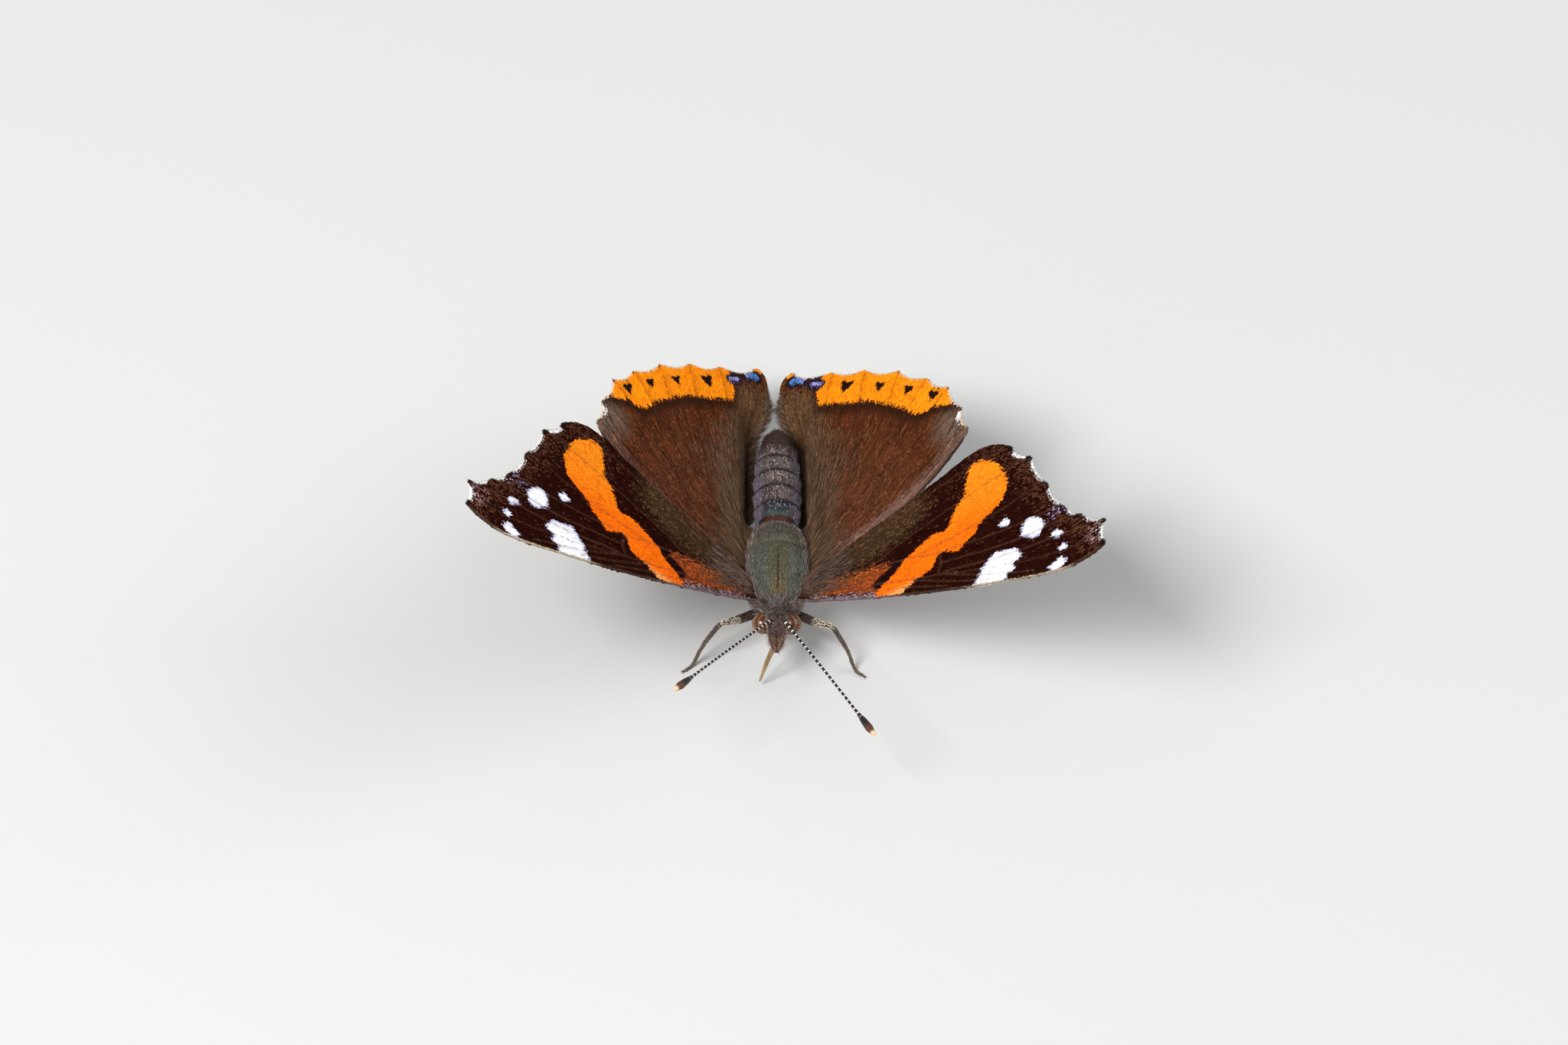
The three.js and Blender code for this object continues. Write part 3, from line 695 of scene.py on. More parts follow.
def eye_piece(name, side, material):
    x, y, z = EYE["centre"]
    bm = bmesh.new()
    bmesh.ops.create_uvsphere(bm, u_segments=48, v_segments=32, radius=EYE["radius"] * MM)
    bmesh.ops.translate(bm, vec=place((x * side, y, z)), verts=bm.verts)
    new_piece(f"{name}_ball", bm, [material], "eye", (name,))


# Coat
def lock_template(root_width, waist):
    """One lock, a unit long: a three-sided root, a waist and a point, as places and faces to copy."""
    bm = bmesh.new()
    ring = bmesh.ops.create_circle(bm, cap_ends=True, segments=3, radius=root_width)["verts"]
    edges = list({edge for vert in ring for edge in vert.link_edges})
    for rise in (waist, 1.0 - waist):
        drawn = bmesh.ops.extrude_edge_only(bm, edges=edges)["geom"]
        ring = [item for item in drawn if isinstance(item, bmesh.types.BMVert)]
        edges = [item for item in drawn if isinstance(item, bmesh.types.BMEdge)]
        bmesh.ops.translate(bm, vec=(0, 0, rise), verts=ring)
        bmesh.ops.scale(bm, vec=(1 / root_width, 1 / root_width, 1), verts=ring)
    bmesh.ops.pointmerge(bm, verts=ring, merge_co=(0, 0, 1))
    bmesh.ops.recalc_face_normals(bm, faces=bm.faces)
    bm.verts.index_update()
    places = [tuple(vert.co) for vert in bm.verts]
    faces = [[vert.index for vert in face.verts] for face in bm.faces]
    bm.free()
    return places, faces


HAIR = lock_template(1.0, 0.5)
VANE = lock_template(0.45, 0.7)


class Coat:
    """Locks of hair or scales gathered into one mesh, with what their material reads."""

    def __init__(self, seed, template=HAIR):
        self.dice = random.Random(seed)
        self.places, self.corners = template
        self.points = []
        self.faces = []
        self.maps = {"OFBake": []}
        self.values = {"along": []}

    def lock(self, root, up, heading, spot, length, width, lift=0.1, tint=0.0, thickness=0.5):
        """One lock from a place on the skin, laid along heading and raised off the skin by lift."""
        across = heading.cross(up).normalized()
        out = across.cross(heading).normalized()
        first = len(self.points)
        for x, y, rise in self.places:
            bend = lift * rise * (LOCK_RISE - LOCK_LEVEL * rise) * length - LOCK_SUNK * width * (1 - rise)
            above = bend + y * width * thickness
            point = root + heading * (length * rise) + out * above + across * (x * width)
            self.points.append(place(point))
        for face in self.corners:
            self.faces.append([first + index for index in face])
            for index in face:
                x, y, rise = self.places[index]
                self.maps["OFBake"] += [
                    spot[0] * UNWRAP_SPAN + (x * 0.5 + 0.5) * UNWRAP_PATCH,
                    spot[1] * UNWRAP_SPAN + rise * UNWRAP_PATCH,
                ]
        self.values["along"] += [rise for x, y, rise in self.places]
        self.note(shade=self.dice.random(), tint=tint)

    def note(self, **values):
        """Gives the last lock these values all over."""
        for label, value in values.items():
            self.values.setdefault(label, []).extend([value] * len(self.places))

    def note_place(self, label, place_uv):
        """Puts the whole of the last lock at one place of a UV map."""
        self.maps.setdefault(label, []).extend(place_uv * sum(len(face) for face in self.corners))

    def grow(self, shape, count, form, from_share=0.0, to_share=1.0):
        """Locks at random on a shape's skin. The form gives nothing where no lock belongs."""
        while count > 0:
            spot = (self.dice.uniform(from_share, to_share), self.dice.random())
            point, up, lie = shape.skin(*spot)
            grown = form(point, up, self.dice, spot)
            if grown is None:
                continue
            count -= 1
            sway = grown.pop("sway")
            heading = (lie + up.cross(lie) * sway + up * grown["lift"] * LOCK_LEAN).normalized()
            self.lock(point, up, heading, spot, **grown)
        return self

    def finish(self, name, material, slot_name, rounded=True):
        """Gathers the copied locks into one piece."""
        mesh = bpy.data.meshes.new(name)
        mesh.from_pydata(self.points, [], self.faces)
        for label, places in self.maps.items():
            mesh.uv_layers.new(name=label).uv.foreach_set("vector", places)
        for label, values in self.values.items():
            mesh.attributes.new(label, "FLOAT", "POINT").data.foreach_set("value", values)
        finish_piece(name, mesh, [material], slot_name, (), rounded)


# Forms of lock: each gives the lock for a place, its way out and its shares, or nothing
def thorax_form(point, up, dice, spot):
    """Short and flat on the back, longer and looser down the sides and towards the tail."""
    if not -0.95 < point.y < 7.45 or dice.random() > math.hypot(point.x, point.z + 1.4) / 2.5:
        return None
    side = 1 - smooth((up.z - 0.25) / 0.45)
    loose = max(side, 0.35 * smooth((point.y - 5) / 1.5), 0.35 * smooth((0.6 - point.y) / 1))
    return {
        "length": dice.uniform(0.3, 0.5) + loose * dice.uniform(0.2, 0.75),
        "width": dice.uniform(0.018, 0.032),
        "lift": dice.uniform(0.05, 0.2) + loose * dice.uniform(0.05, 0.4),
        "sway": dice.gauss(0, 0.12 + 0.3 * loose),
        "tint": dice.random() ** 3 * (0.15 + 0.5 * loose),
    }


def head_form(point, up, dice, spot):
    """Curled tufts on the crown, and a pale rim round each eye."""
    if point.y > -0.85 or dice.random() > math.hypot(point.x, point.z + 0.9) / 1.2:
        return None
    x, y, z = EYE["centre"]
    eye = min((point - Vector((x * side, y, z))).length for side in (1, -1))
    if eye < EYE["radius"] - 0.04:
        return None
    rim = 1 - smooth((eye - EYE["radius"]) / 0.16)
    rim *= smooth((up.z + 0.2) / 0.4)
    return {
        "length": dice.uniform(0.18, 0.36) * (1 - 0.35 * rim),
        "width": dice.uniform(0.013, 0.022),
        "lift": dice.uniform(0.25, 0.8) * (1 - 0.5 * rim),
        "sway": dice.gauss(0, 0.7) * (1 - 0.7 * rim),
        "tint": max(rim * dice.uniform(0.6, 1), dice.random() ** 4 * 0.7),
    }


def abdomen_form(point, up, dice, spot):
    """Small scales on the back, speckled pale in the middle of each segment, more on top as a painted
    highlight, and hair along the sides.
    """
    if point.y < 7.9 or dice.random() > math.hypot(point.x, point.z + 1.5) / 1.75:
        return None
    if point.y < 8.9 and up.z > 0.55 and dice.random() < 0.85:
        return None
    flank = 1 - smooth((abs(up.z) - 0.1) / 0.5)
    phase = (point.y - SEGMENTS["first"]) / SEGMENTS["length"] % 1
    middle = smooth(phase / 0.3) * (1 - smooth((phase - 0.6) / 0.25)) * math.exp(-(point.x / 0.9) ** 2)
    # A few pale scales all over, and more on top of each segment's middle as a painted highlight
    speckled = 0.1 + 0.4 * middle * smooth((up.z - 0.2) / 0.5)
    pale = dice.random() < speckled * (1 - smooth((point.y - 14.8) / 1))
    return {
        "length": dice.uniform(0.2, 0.32) + flank * dice.uniform(0.15, 0.5),
        "width": dice.uniform(0.025, 0.042) * (1 - 0.4 * flank),
        "lift": dice.uniform(0.04, 0.14) + flank * dice.uniform(0.1, 0.3),
        "sway": dice.gauss(0, 0.15 + 0.15 * flank),
        "tint": pale * dice.uniform(0.35, 0.9),
    }


def hindwing_form(point, up, dice, spot):
    """Long hairs that follow the veins, over the root and along the inner edge."""
    s, t = spot
    along_rear = (1 - smooth((t - 0.2) / 0.45)) * (1 - 0.75 * smooth(s / 0.8))
    near_root = 0.8 * (1 - smooth(s / 0.35))
    if dice.random() > along_rear + near_root:
        return None
    return {
        "length": dice.uniform(0.9, 2.1) * (1 - 0.4 * s),
        "width": dice.uniform(0.014, 0.026),
        "lift": dice.uniform(0.02, 0.09),
        "sway": dice.gauss(0, 0.07),
        "tint": dice.random() ** 1.5,
    }


def forewing_form(point, up, dice, spot):
    """Hairs over the root only, thinning outward."""
    s, t = spot
    near_root = 1 - smooth((s - 0.03) / 0.24)
    near_rear = 0.3 + 0.7 * (1 - smooth((t - 0.4) / 0.2))
    if t > 0.8 or dice.random() > near_root * near_rear:
        return None
    return {
        "length": dice.uniform(0.5, 1.2),
        "width": dice.uniform(0.014, 0.024),
        "lift": dice.uniform(0.03, 0.14),
        "sway": dice.gauss(0, 0.12),
        "tint": dice.random() ** 2,
    }


def palp_form(point, up, dice, spot):
    """Hair along the palps, shorter towards their tips and paler on top as a painted highlight, with a few
    pale bristles down their outer sides.
    """
    outer = up.x * math.copysign(1, point.x)
    bristle = outer > 0.3 and dice.random() < 0.12
    return {
        "length": dice.uniform(0.2, 0.32) * (1 - 0.45 * spot[0]) + (0.25 if bristle else 0),
        "width": dice.uniform(0.018, 0.03),
        "lift": dice.uniform(0.04, 0.16) + (0.6 if bristle else 0),
        "sway": dice.gauss(0, 0.07),
        # Paler on top: a painted highlight along the ridge
        "tint": 1.0 if bristle else dice.random() ** 2 * (0.25 + 0.5 * smooth((up.z - 0.5) / 0.4)),
    }


def leg_form(point, up, dice, spot):
    """Scales and short bristles, with cream scales below the knee."""
    knee = smooth((spot[0] - 0.2) / 0.04) * (1 - smooth((spot[0] - 0.38) / 0.06))
    return {
        "length": dice.uniform(0.12, 0.26) * (1 - 0.35 * spot[0]),
        "width": dice.uniform(0.014, 0.024) * (1 + 0.7 * knee),
        "lift": dice.uniform(0.08, 0.4) * (1 - 0.7 * knee),
        "sway": dice.gauss(0, 0.15),
        "tint": min(1, knee * dice.uniform(0.8, 1.1) + 0.25 * dice.random()),
    }


# Coats whose locks stand in rows or lines
def wing_scales(wing, name, material, seed, coarse=1.0):
    """Rows of overlapping scales over the side that faces out, each the colour of its own place."""
    coat = Coat(seed, VANE)
    row_gap, column_gap, length, half_width = (
        SCALE_SHAPE[key] * coarse for key in ("row", "column", "length", "half_width")
    )
    rows = int((wing.plan(1, 0.5) - wing.plan(0, 0.5)).length / row_gap)
    for row in range(int(rows * FIRST_SCALES), rows):
        across = (wing.plan(row / rows, 1) - wing.plan(row / rows, 0)).length
        columns = int(across / column_gap)
        for column in range(columns):
            s = (row + coat.dice.uniform(-0.3, 0.3)) / rows
            t = (column + 0.5 + coat.dice.uniform(-0.4, 0.4)) / columns
            root, up, lie = wing.skin(s, t)
            heading = (lie + up.cross(lie) * coat.dice.gauss(0, 0.09)).normalized()
            reach = length * coat.dice.uniform(0.85, 1.15)
            lift = coat.dice.uniform(0.02, 0.12)
            coat.lock(root, up, heading, (s, t), reach, half_width, lift, 0.0, SCALE_SHAPE["thickness"])
            point = wing.plan(s, t)
            coat.note(**wing.readings(point))
            coat.note_place("Plan", plan_uv(point))
            coat.note_place("Lie", (s, t))
    coat.finish(name, material, wing.shape["kind"], False)


def inner_hair(wing, coat):
    """Soft hair that reaches from a hindwing's inner edge to the abdomen."""
    upright = Vector((0, 0, 1))
    for hair in range(INNER_HAIRS):
        s = coat.dice.uniform(0.15, 0.9)
        root = wing.lifted(wing.plan(s, coat.dice.uniform(0, 0.02)))
        heading = Vector((-wing.side, coat.dice.uniform(0.4, 0.9), coat.dice.uniform(0.0, 0.3))).normalized()
        length = coat.dice.uniform(0.7, 1.7) * smooth((0.95 - s) / 0.3)
        coat.lock(root, upright, heading, (s, 0), length, 0.02, 0.1, coat.dice.random() ** 2)


def fringe(wing, name, material, seed):
    """Fine scales along the outer margin, white between the vein ends and black at them."""
    coat = Coat(seed)
    low, high = wing.shape["fringe"]
    count = int(wing.outer.reach[-1] / FRINGE_GAP)
    for number in range(count):
        t = (number + coat.dice.random()) / count
        point, outward = wing.margin(t)
        up, lie = wing.directions(point, outward)
        gap = wing.vein_ends.find(point)[2] + coat.dice.gauss(0, 0.08)
        root = wing.lifted(point - outward * 0.1, coat.dice.uniform(-0.04, 0.04))
        heading = (lie + up.cross(lie) * coat.dice.gauss(0, 0.12)).normalized()
        white = smooth((gap - wing.shape["tick"]) / 0.12)
        length = coat.dice.uniform(low, high) * smooth(min(t, 1 - t) / 0.03 + 0.3) * (0.8 + 0.2 * white)
        coat.lock(root, up, heading, (1, t), length, FRINGE_WIDTH, coat.dice.uniform(-0.08, 0.08), white)
    coat.finish(name, material, wing.shape["kind"])


def eye_rim(side, material, name):
    """A line of short pale hair where the eye meets the head, over the top and down the front."""
    coat = Coat(70 + side)
    x, y, z = EYE["centre"]
    reach = EYE["radius"] * 0.92
    for number in range(EYE["rim_locks"]):
        share = number / EYE["rim_locks"]
        angle = math.radians(-60 + 190 * number / EYE["rim_locks"])
        up = Vector((-0.2 * side, -math.sin(angle), math.cos(angle))).normalized()
        heading = Vector((0, -math.cos(angle), -math.sin(angle)))
        inward = coat.dice.uniform(0.33, 0.41)
        root = Vector(((x - inward) * side, y - reach * math.sin(angle), z + reach * math.cos(angle)))
        coat.lock(root, up, heading, (share, 0.5), coat.dice.uniform(0.14, 0.22), 0.022, 0.15, 1.0)
    coat.finish(name, material, "head")


def claws(name, limb, material):
    """Two small hooks at the end of a foot."""
    heading = limb.line.heading(1.0)
    end = limb.line.at(1.0)
    across = heading.cross(Vector((0, 0, 1))).normalized()
    for label, way in (("outer", 1), ("inner", -1)):
        path = [
            end + heading * out + across * way * spread + Vector((0, 0, rise))
            for out, spread, rise in CLAW["path"]
        ]
        limb_piece(f"{name}_claw_{label}", Limb(path, CLAW["radii"]), material, "leg", (), 8, 12)


# Materials
def add_node(tree, kind, inputs=None, **settings):
    """A node whose inputs are given as values or as the sockets that feed them."""
    node = tree.nodes.new(kind)
    for key, value in settings.items():
        setattr(node, key, value)
    for key, value in (inputs or {}).items():
        if isinstance(value, bpy.types.NodeSocket):
            tree.links.new(value, node.inputs[key])
        else:
            node.inputs[key].default_value = value
    return node


def combine(tree, operation, *values):
    return add_node(tree, "ShaderNodeMath", dict(enumerate(values)), operation=operation).outputs[0]


def product(tree, *values):
    result = values[0]
    for value in values[1:]:
        result = combine(tree, "MULTIPLY", result, value)
    return result


def mix(tree, factor, a, b):
    """Colour a, or b where the factor is 1. A plain colour has three numbers."""
    a, b = [(*colour, 1) if isinstance(colour, tuple) else colour for colour in (a, b)]
    return add_node(tree, "ShaderNodeMix", {0: factor, 6: a, 7: b}, data_type="RGBA").outputs[2]


def ease(tree, value, low, high, start=0.0, end=1.0):
    """From start to end as the value goes from low to high, with soft ends."""
    inputs = {"Value": value, "From Min": low, "From Max": high, "To Min": start, "To Max": end}
    return add_node(tree, "ShaderNodeMapRange", inputs, interpolation_type="SMOOTHSTEP").outputs[0]


def between(tree, value, low, high, soft):
    """1 from low to high and 0 outside, over a soft edge."""
    rise = ease(tree, value, low - soft, low + soft)
    return product(tree, rise, ease(tree, value, high - soft, high + soft, 1.0, 0.0))


def scaled(tree, vector, factor):
    inputs = {0: vector, "Scale": factor}
    return add_node(tree, "ShaderNodeVectorMath", inputs, operation="SCALE").outputs[0]


def added(tree, vector, shift):
    return add_node(tree, "ShaderNodeVectorMath", {0: vector, 1: shift}, operation="ADD").outputs[0]


def attribute(tree, name):
    return add_node(tree, "ShaderNodeAttribute", attribute_name=name).outputs["Fac"]


def object_place(tree):
    return add_node(tree, "ShaderNodeTexCoord").outputs["Object"]


def axes_of(tree, vector):
    return add_node(tree, "ShaderNodeSeparateXYZ", {0: vector}).outputs


def body_axes(tree, spot):
    """Millimetres in the body's own frame from a place in the shared frame."""
    return axes_of(tree, scaled(tree, added(tree, spot, tuple(-ORIGIN)), 1 / MM))


def noise_tone(tree, vector, scale, detail=3.0):
    inputs = {"Vector": vector, "Scale": scale, "Detail": detail}
    return add_node(tree, "ShaderNodeTexNoise", inputs).outputs[0]


def new_group(name, inputs, outputs):
    """An empty node group with its named sockets."""
    group = bpy.data.node_groups.new(name, "ShaderNodeTree")
    for label, kind in inputs.items():
        group.interface.new_socket(label, in_out="INPUT", socket_type=f"NodeSocket{kind}")
    for label, kind in outputs.items():
        group.interface.new_socket(label, in_out="OUTPUT", socket_type=f"NodeSocket{kind}")
    start = group.nodes.new("NodeGroupInput")
    end = group.nodes.new("NodeGroupOutput")
    return group, start.outputs, end.inputs


def use_group(tree, group, inputs):
    return add_node(tree, "ShaderNodeGroup", inputs, node_tree=group).outputs


GRAIN_PER_MM = (8.0, 14.0, 1.0)
STREAKS = (7, 190, 1)
BLOTCH = 1.1


def scale_grain():
    """Rows of small scales: a tone for each one, its height for the bump, and a slow drift."""
    group, start, end = new_group(
        "Scale grain",
        {"Place": "Vector", "Turn": "Float"},
        {"Tone": "Float", "Height": "Float", "Drift": "Float"},
    )
    turned = add_node(group, "ShaderNodeVectorRotate", {"Vector": start["Place"], "Angle": start["Turn"]})
    inputs = {0: turned.outputs[0], 1: GRAIN_PER_MM}
    rows = add_node(group, "ShaderNodeVectorMath", inputs, operation="MULTIPLY")
    inputs = {"Vector": rows.outputs[0], "Scale": 1.0, "Randomness": 0.6}
    cells = add_node(group, "ShaderNodeTexVoronoi", inputs, voronoi_dimensions="2D")
    tone = add_node(group, "ShaderNodeSeparateColor", {"Color": cells.outputs["Color"]}).outputs[0]
    group.links.new(tone, end["Tone"])
    group.links.new(combine(group, "SUBTRACT", 1.0, cells.outputs["Distance"]), end["Height"])
    group.links.new(noise_tone(group, start["Place"], BLOTCH, 5.0), end["Drift"])
    return group


def ragged_mask():
    """1 inside a mark and 0 outside it, with an edge broken up scale by scale. Depth is in millimetres."""
    group, start, end = new_group(
        "Ragged mask",
        {"Depth": "Float", "Tone": "Float", "Drift": "Float", "Ragged": "Float", "Soft": "Float"},
        {"Mask": "Float"},
    )
    tone = combine(group, "SUBTRACT", start["Tone"], 0.5)
    wander = combine(group, "ADD", tone, combine(group, "SUBTRACT", start["Drift"], 0.5))
    depth = combine(group, "MULTIPLY_ADD", wander, start["Ragged"], start["Depth"])
    low = combine(group, "MULTIPLY", start["Soft"], -1.0)
    group.links.new(ease(group, depth, low, start["Soft"]), end["Mask"])
    return group


def speckle():
    """Picks out a share of the scales by their tone."""
    group, start, end = new_group("Speckle", {"Tone": "Float", "Amount": "Float"}, {"Mask": "Float"})
    low = combine(group, "SUBTRACT", 1.0, start["Amount"])
    high = combine(group, "ADD", low, 0.06)
    group.links.new(ease(group, start["Tone"], low, high), end["Mask"])
    return group


def hair_streaks():
    """Fine streaks along the lie of a wing's hair. Lie runs from the root outward, then across."""
    group, start, end = new_group("Hair streaks", {"Lie": "Vector"}, {"Tone": "Float"})
    stretch = add_node(group, "ShaderNodeMapping", {"Vector": start["Lie"], "Scale": STREAKS})
    group.links.new(noise_tone(group, stretch.outputs[0], 1.0, 4.0), end["Tone"])
    return group


HEAD_COLOURS = {
    "dark": (0.022, 0.012, 0.008),
    "tuft": (0.09, 0.055, 0.036),
    "face": (0.13, 0.068, 0.05),
}
THORAX_COLOURS = {
    "middle": (0.125, 0.12, 0.06),
    "side": (0.13, 0.14, 0.11),
    "bronze": (0.22, 0.12, 0.035),
    "rear": (0.13, 0.115, 0.08),
    "line": (0.05, 0.028, 0.01),
    "flank": (0.2, 0.145, 0.12),
    "collar": (0.045, 0.027, 0.021),
    "collar_tuft": (0.14, 0.1, 0.085),
    "frost": (0.2, 0.205, 0.21),
}
ABDOMEN_COLOURS = {
    "dark": (0.07, 0.045, 0.042),
    "dusty": (0.13, 0.095, 0.088),
    "side": (0.2, 0.17, 0.24),
    "seam": (0.014, 0.01, 0.01),
    "tail": (0.042, 0.02, 0.014),
    "blue": (0.012, 0.016, 0.036),
    "green": (0.014, 0.075, 0.062),
    "red": (0.075, 0.017, 0.007),
    "belly": (0.24, 0.17, 0.11),
}
WAIST = (7.5, 7.75)
NECK = (-1.3, -0.8)


def head_colour(group, spot, y):
    tufts = ease(group, noise_tone(group, spot, 4 / MM), 0.42, 0.58)
    colour = mix(group, tufts, HEAD_COLOURS["dark"], HEAD_COLOURS["tuft"])
    return mix(group, product(group, ease(group, y, -2.4, -2.9), 0.6), colour, HEAD_COLOURS["face"])


def thorax_colour(group, spot, aside, y, z):
    """Olive with a bronze front, a dark line down the middle, pinkish sides and a frosted collar."""
    paint = THORAX_COLOURS
    colour = mix(group, ease(group, aside, 0.3, 1.3), paint["middle"], paint["side"])
    bronze = product(group, between(group, y, -0.2, 1.1, 0.7), ease(group, aside, 0.7, 0.1))
    colour = mix(group, product(group, bronze, 0.6), colour, paint["bronze"])
    colour = mix(group, ease(group, y, 3.8, 5.2), colour, paint["rear"])
    line = product(group, between(group, y, 0.4, 3.9, 0.3), ease(group, aside, 0.12, 0.05))
    colour = mix(group, line, colour, paint["line"])
    colour = mix(group, ease(group, z, -0.6, 0.3), paint["flank"], colour)
    tufts = ease(group, noise_tone(group, spot, 2.2 / MM), 0.4, 0.6)
    collar = mix(group, tufts, paint["collar"], paint["collar_tuft"])
    frost = product(group, between(group, y, -0.55, 0.0, 0.15), ease(group, aside, 0.9, 0.4))
    collar = mix(group, product(group, frost, 0.35), collar, paint["frost"])
    return mix(group, ease(group, y, 0.2, -0.35), colour, collar)


def abdomen_colour(group, spot, aside, y, z):
    """Dusty brown with dark seams, and bands of blue, green and red where it meets the thorax."""
    paint = ABDOMEN_COLOURS
    cloud = ease(group, noise_tone(group, spot, 1.2 / MM), 0.35, 0.65)
    colour = mix(group, cloud, paint["dark"], paint["dusty"])
    colour = mix(group, product(group, ease(group, aside, 0.9, 1.6), 0.6), colour, paint["side"])
    length = SEGMENTS["length"]
    phase = combine(group, "MULTIPLY_ADD", y, 1 / length, -SEGMENTS["first"] / length)
    phase = combine(group, "FRACT", phase)
    seam = combine(group, "MAXIMUM", ease(group, phase, 0.78, 0.9), ease(group, phase, 0.14, 0.04))
    colour = mix(group, product(group, seam, 0.85), colour, paint["seam"])
    colour = mix(group, ease(group, y, 14.4, 16.0), colour, paint["tail"])
    front = ease(group, aside, 1.3, 0.8)
    drift = combine(group, "MULTIPLY_ADD", noise_tone(group, spot, 3 / MM), 0.5, -0.25)
    arc = combine(group, "ADD", combine(group, "MULTIPLY_ADD", aside, -0.12, y), drift)
    colour = mix(group, product(group, between(group, arc, 8.55, 9.6, 0.3), front), colour, paint["blue"])
    colour = mix(group, product(group, between(group, arc, 8.28, 8.52, 0.14), front), colour, paint["green"])
    colour = mix(group, product(group, ease(group, arc, 8.3, 8.1), front), colour, paint["red"])
    return mix(group, ease(group, z, -1.7, -2.5), colour, paint["belly"])


def body_markings():
    """Colour of the body's skin and coat by their place in the frame."""
    group, start, end = new_group("Body markings", {"Place": "Vector"}, {"Colour": "Color"})
    spot = start["Place"]
    x, y, z = body_axes(group, spot)
    aside = combine(group, "ABSOLUTE", x)
    thorax = thorax_colour(group, spot, aside, y, z)
    colour = mix(group, ease(group, y, *NECK), head_colour(group, spot, y), thorax)
    abdomen = abdomen_colour(group, spot, aside, y, z)
    group.links.new(mix(group, ease(group, y, *WAIST), colour, abdomen), end["Colour"])
    return group


def new_material(name, colour, roughness=0.6, specular=0.25):
    """A material with its node tree and its shader."""
    material = bpy.data.materials.new(name)
    material.use_nodes = True
    shader = material.node_tree.nodes["Principled BSDF"]
    shader.inputs["Base Color"].default_value = (*colour, 1)
    shader.inputs["Roughness"].default_value = roughness
    shader.inputs["Specular IOR Level"].default_value = specular
    return material, material.node_tree, shader


def add_bump(tree, shader, height, distance, strength=0.6):
    inputs = {"Strength": strength, "Distance": distance * MM, "Height": height}
    tree.links.new(add_node(tree, "ShaderNodeBump", inputs).outputs[0], shader.inputs["Normal"])


RIM_COLOURS = {"black": (0.012, 0.008, 0.007), "white": (0.88, 0.87, 0.86)}


class WingPaint:
    """One wing material in the making: its colour so far, laid over step by step."""

    def __init__(self, name, ground, tools, turn=-12):
        self.material, self.tree, self.shader = new_material(name, ground, 0.8, 0.02)
        self.tools = tools
        plan = add_node(self.tree, "ShaderNodeUVMap", uv_map="Plan").outputs[0]
        self.place = scaled(self.tree, added(self.tree, plan, (-0.5, -0.5, 0)), PLAN_SPAN)
        self.u, self.v = axes_of(self.tree, self.place)[:2]
        self.grain = use_group(self.tree, tools["grain"], {"Place": self.place, "Turn": math.radians(turn)})
        self.edge = attribute(self.tree, "edge")
        self.colour = ground

    def near(self, centre, inner, outer):
        """1 within the inner distance of a plan place, fading to 0 at the outer one."""
        inputs = {0: self.place, 1: (*centre, 0)}
        away = add_node(self.tree, "ShaderNodeVectorMath", inputs, operation="DISTANCE")
        return ease(self.tree, away.outputs["Value"], inner, outer, 1.0, 0.0)

    def streaks(self):
        """A tone in fine streaks along the lie of the hair."""
        lie = add_node(self.tree, "ShaderNodeUVMap", uv_map="Lie").outputs[0]
        return use_group(self.tree, self.tools["streaks"], {"Lie": lie})[0]

    def mask(self, label, ragged=0.18, soft=0.05, wider=0.0):
        """Where a mark lies, with a ragged and soft edge, drawn wider by so many millimetres."""
        depth = combine(self.tree, "ADD", attribute(self.tree, label), wider)
        inputs = {"Depth": depth, "Tone": self.grain["Tone"], "Drift": self.grain["Drift"]}
        return use_group(self.tree, self.tools["mask"], {**inputs, "Ragged": ragged, "Soft": soft})[0]

    def lay(self, factor, colour):
        """Lays a colour over what is there so far."""
        self.colour = mix(self.tree, factor, self.colour, colour)

    def sprinkle(self, amount, colour):
        """Colours that share of the scales."""
        picked = use_group(self.tree, self.tools["speckle"], {"Tone": self.grain["Tone"], "Amount": amount})
        self.lay(picked[0], colour)

    def veins(self, colour, strength):
        """A thin line along every vein."""
        line = ease(self.tree, attribute(self.tree, "vein"), 0.03, 0.12, strength, 0.0)
        self.lay(line, colour)

    def rim(self):
        """Black and white scales under the fringe."""
        rim = ease(self.tree, self.edge, FRINGE_INSET + 0.02, FRINGE_INSET + 0.14, 1.0, 0.0)
        white = ease(self.tree, attribute(self.tree, "tick"), 0.0, 0.12)
        self.lay(rim, mix(self.tree, white, RIM_COLOURS["black"], RIM_COLOURS["white"]))

    def finish(self, low=0.75, high=1.25):
        """Shades every scale a little differently and raises it."""
        tone = ease(self.tree, self.grain["Tone"], 0.0, 1.0, low, high)
        self.tree.links.new(scaled(self.tree, self.colour, tone), self.shader.inputs["Base Color"])
        add_bump(self.tree, self.shader, self.grain["Height"], 0.03)
        return self.material


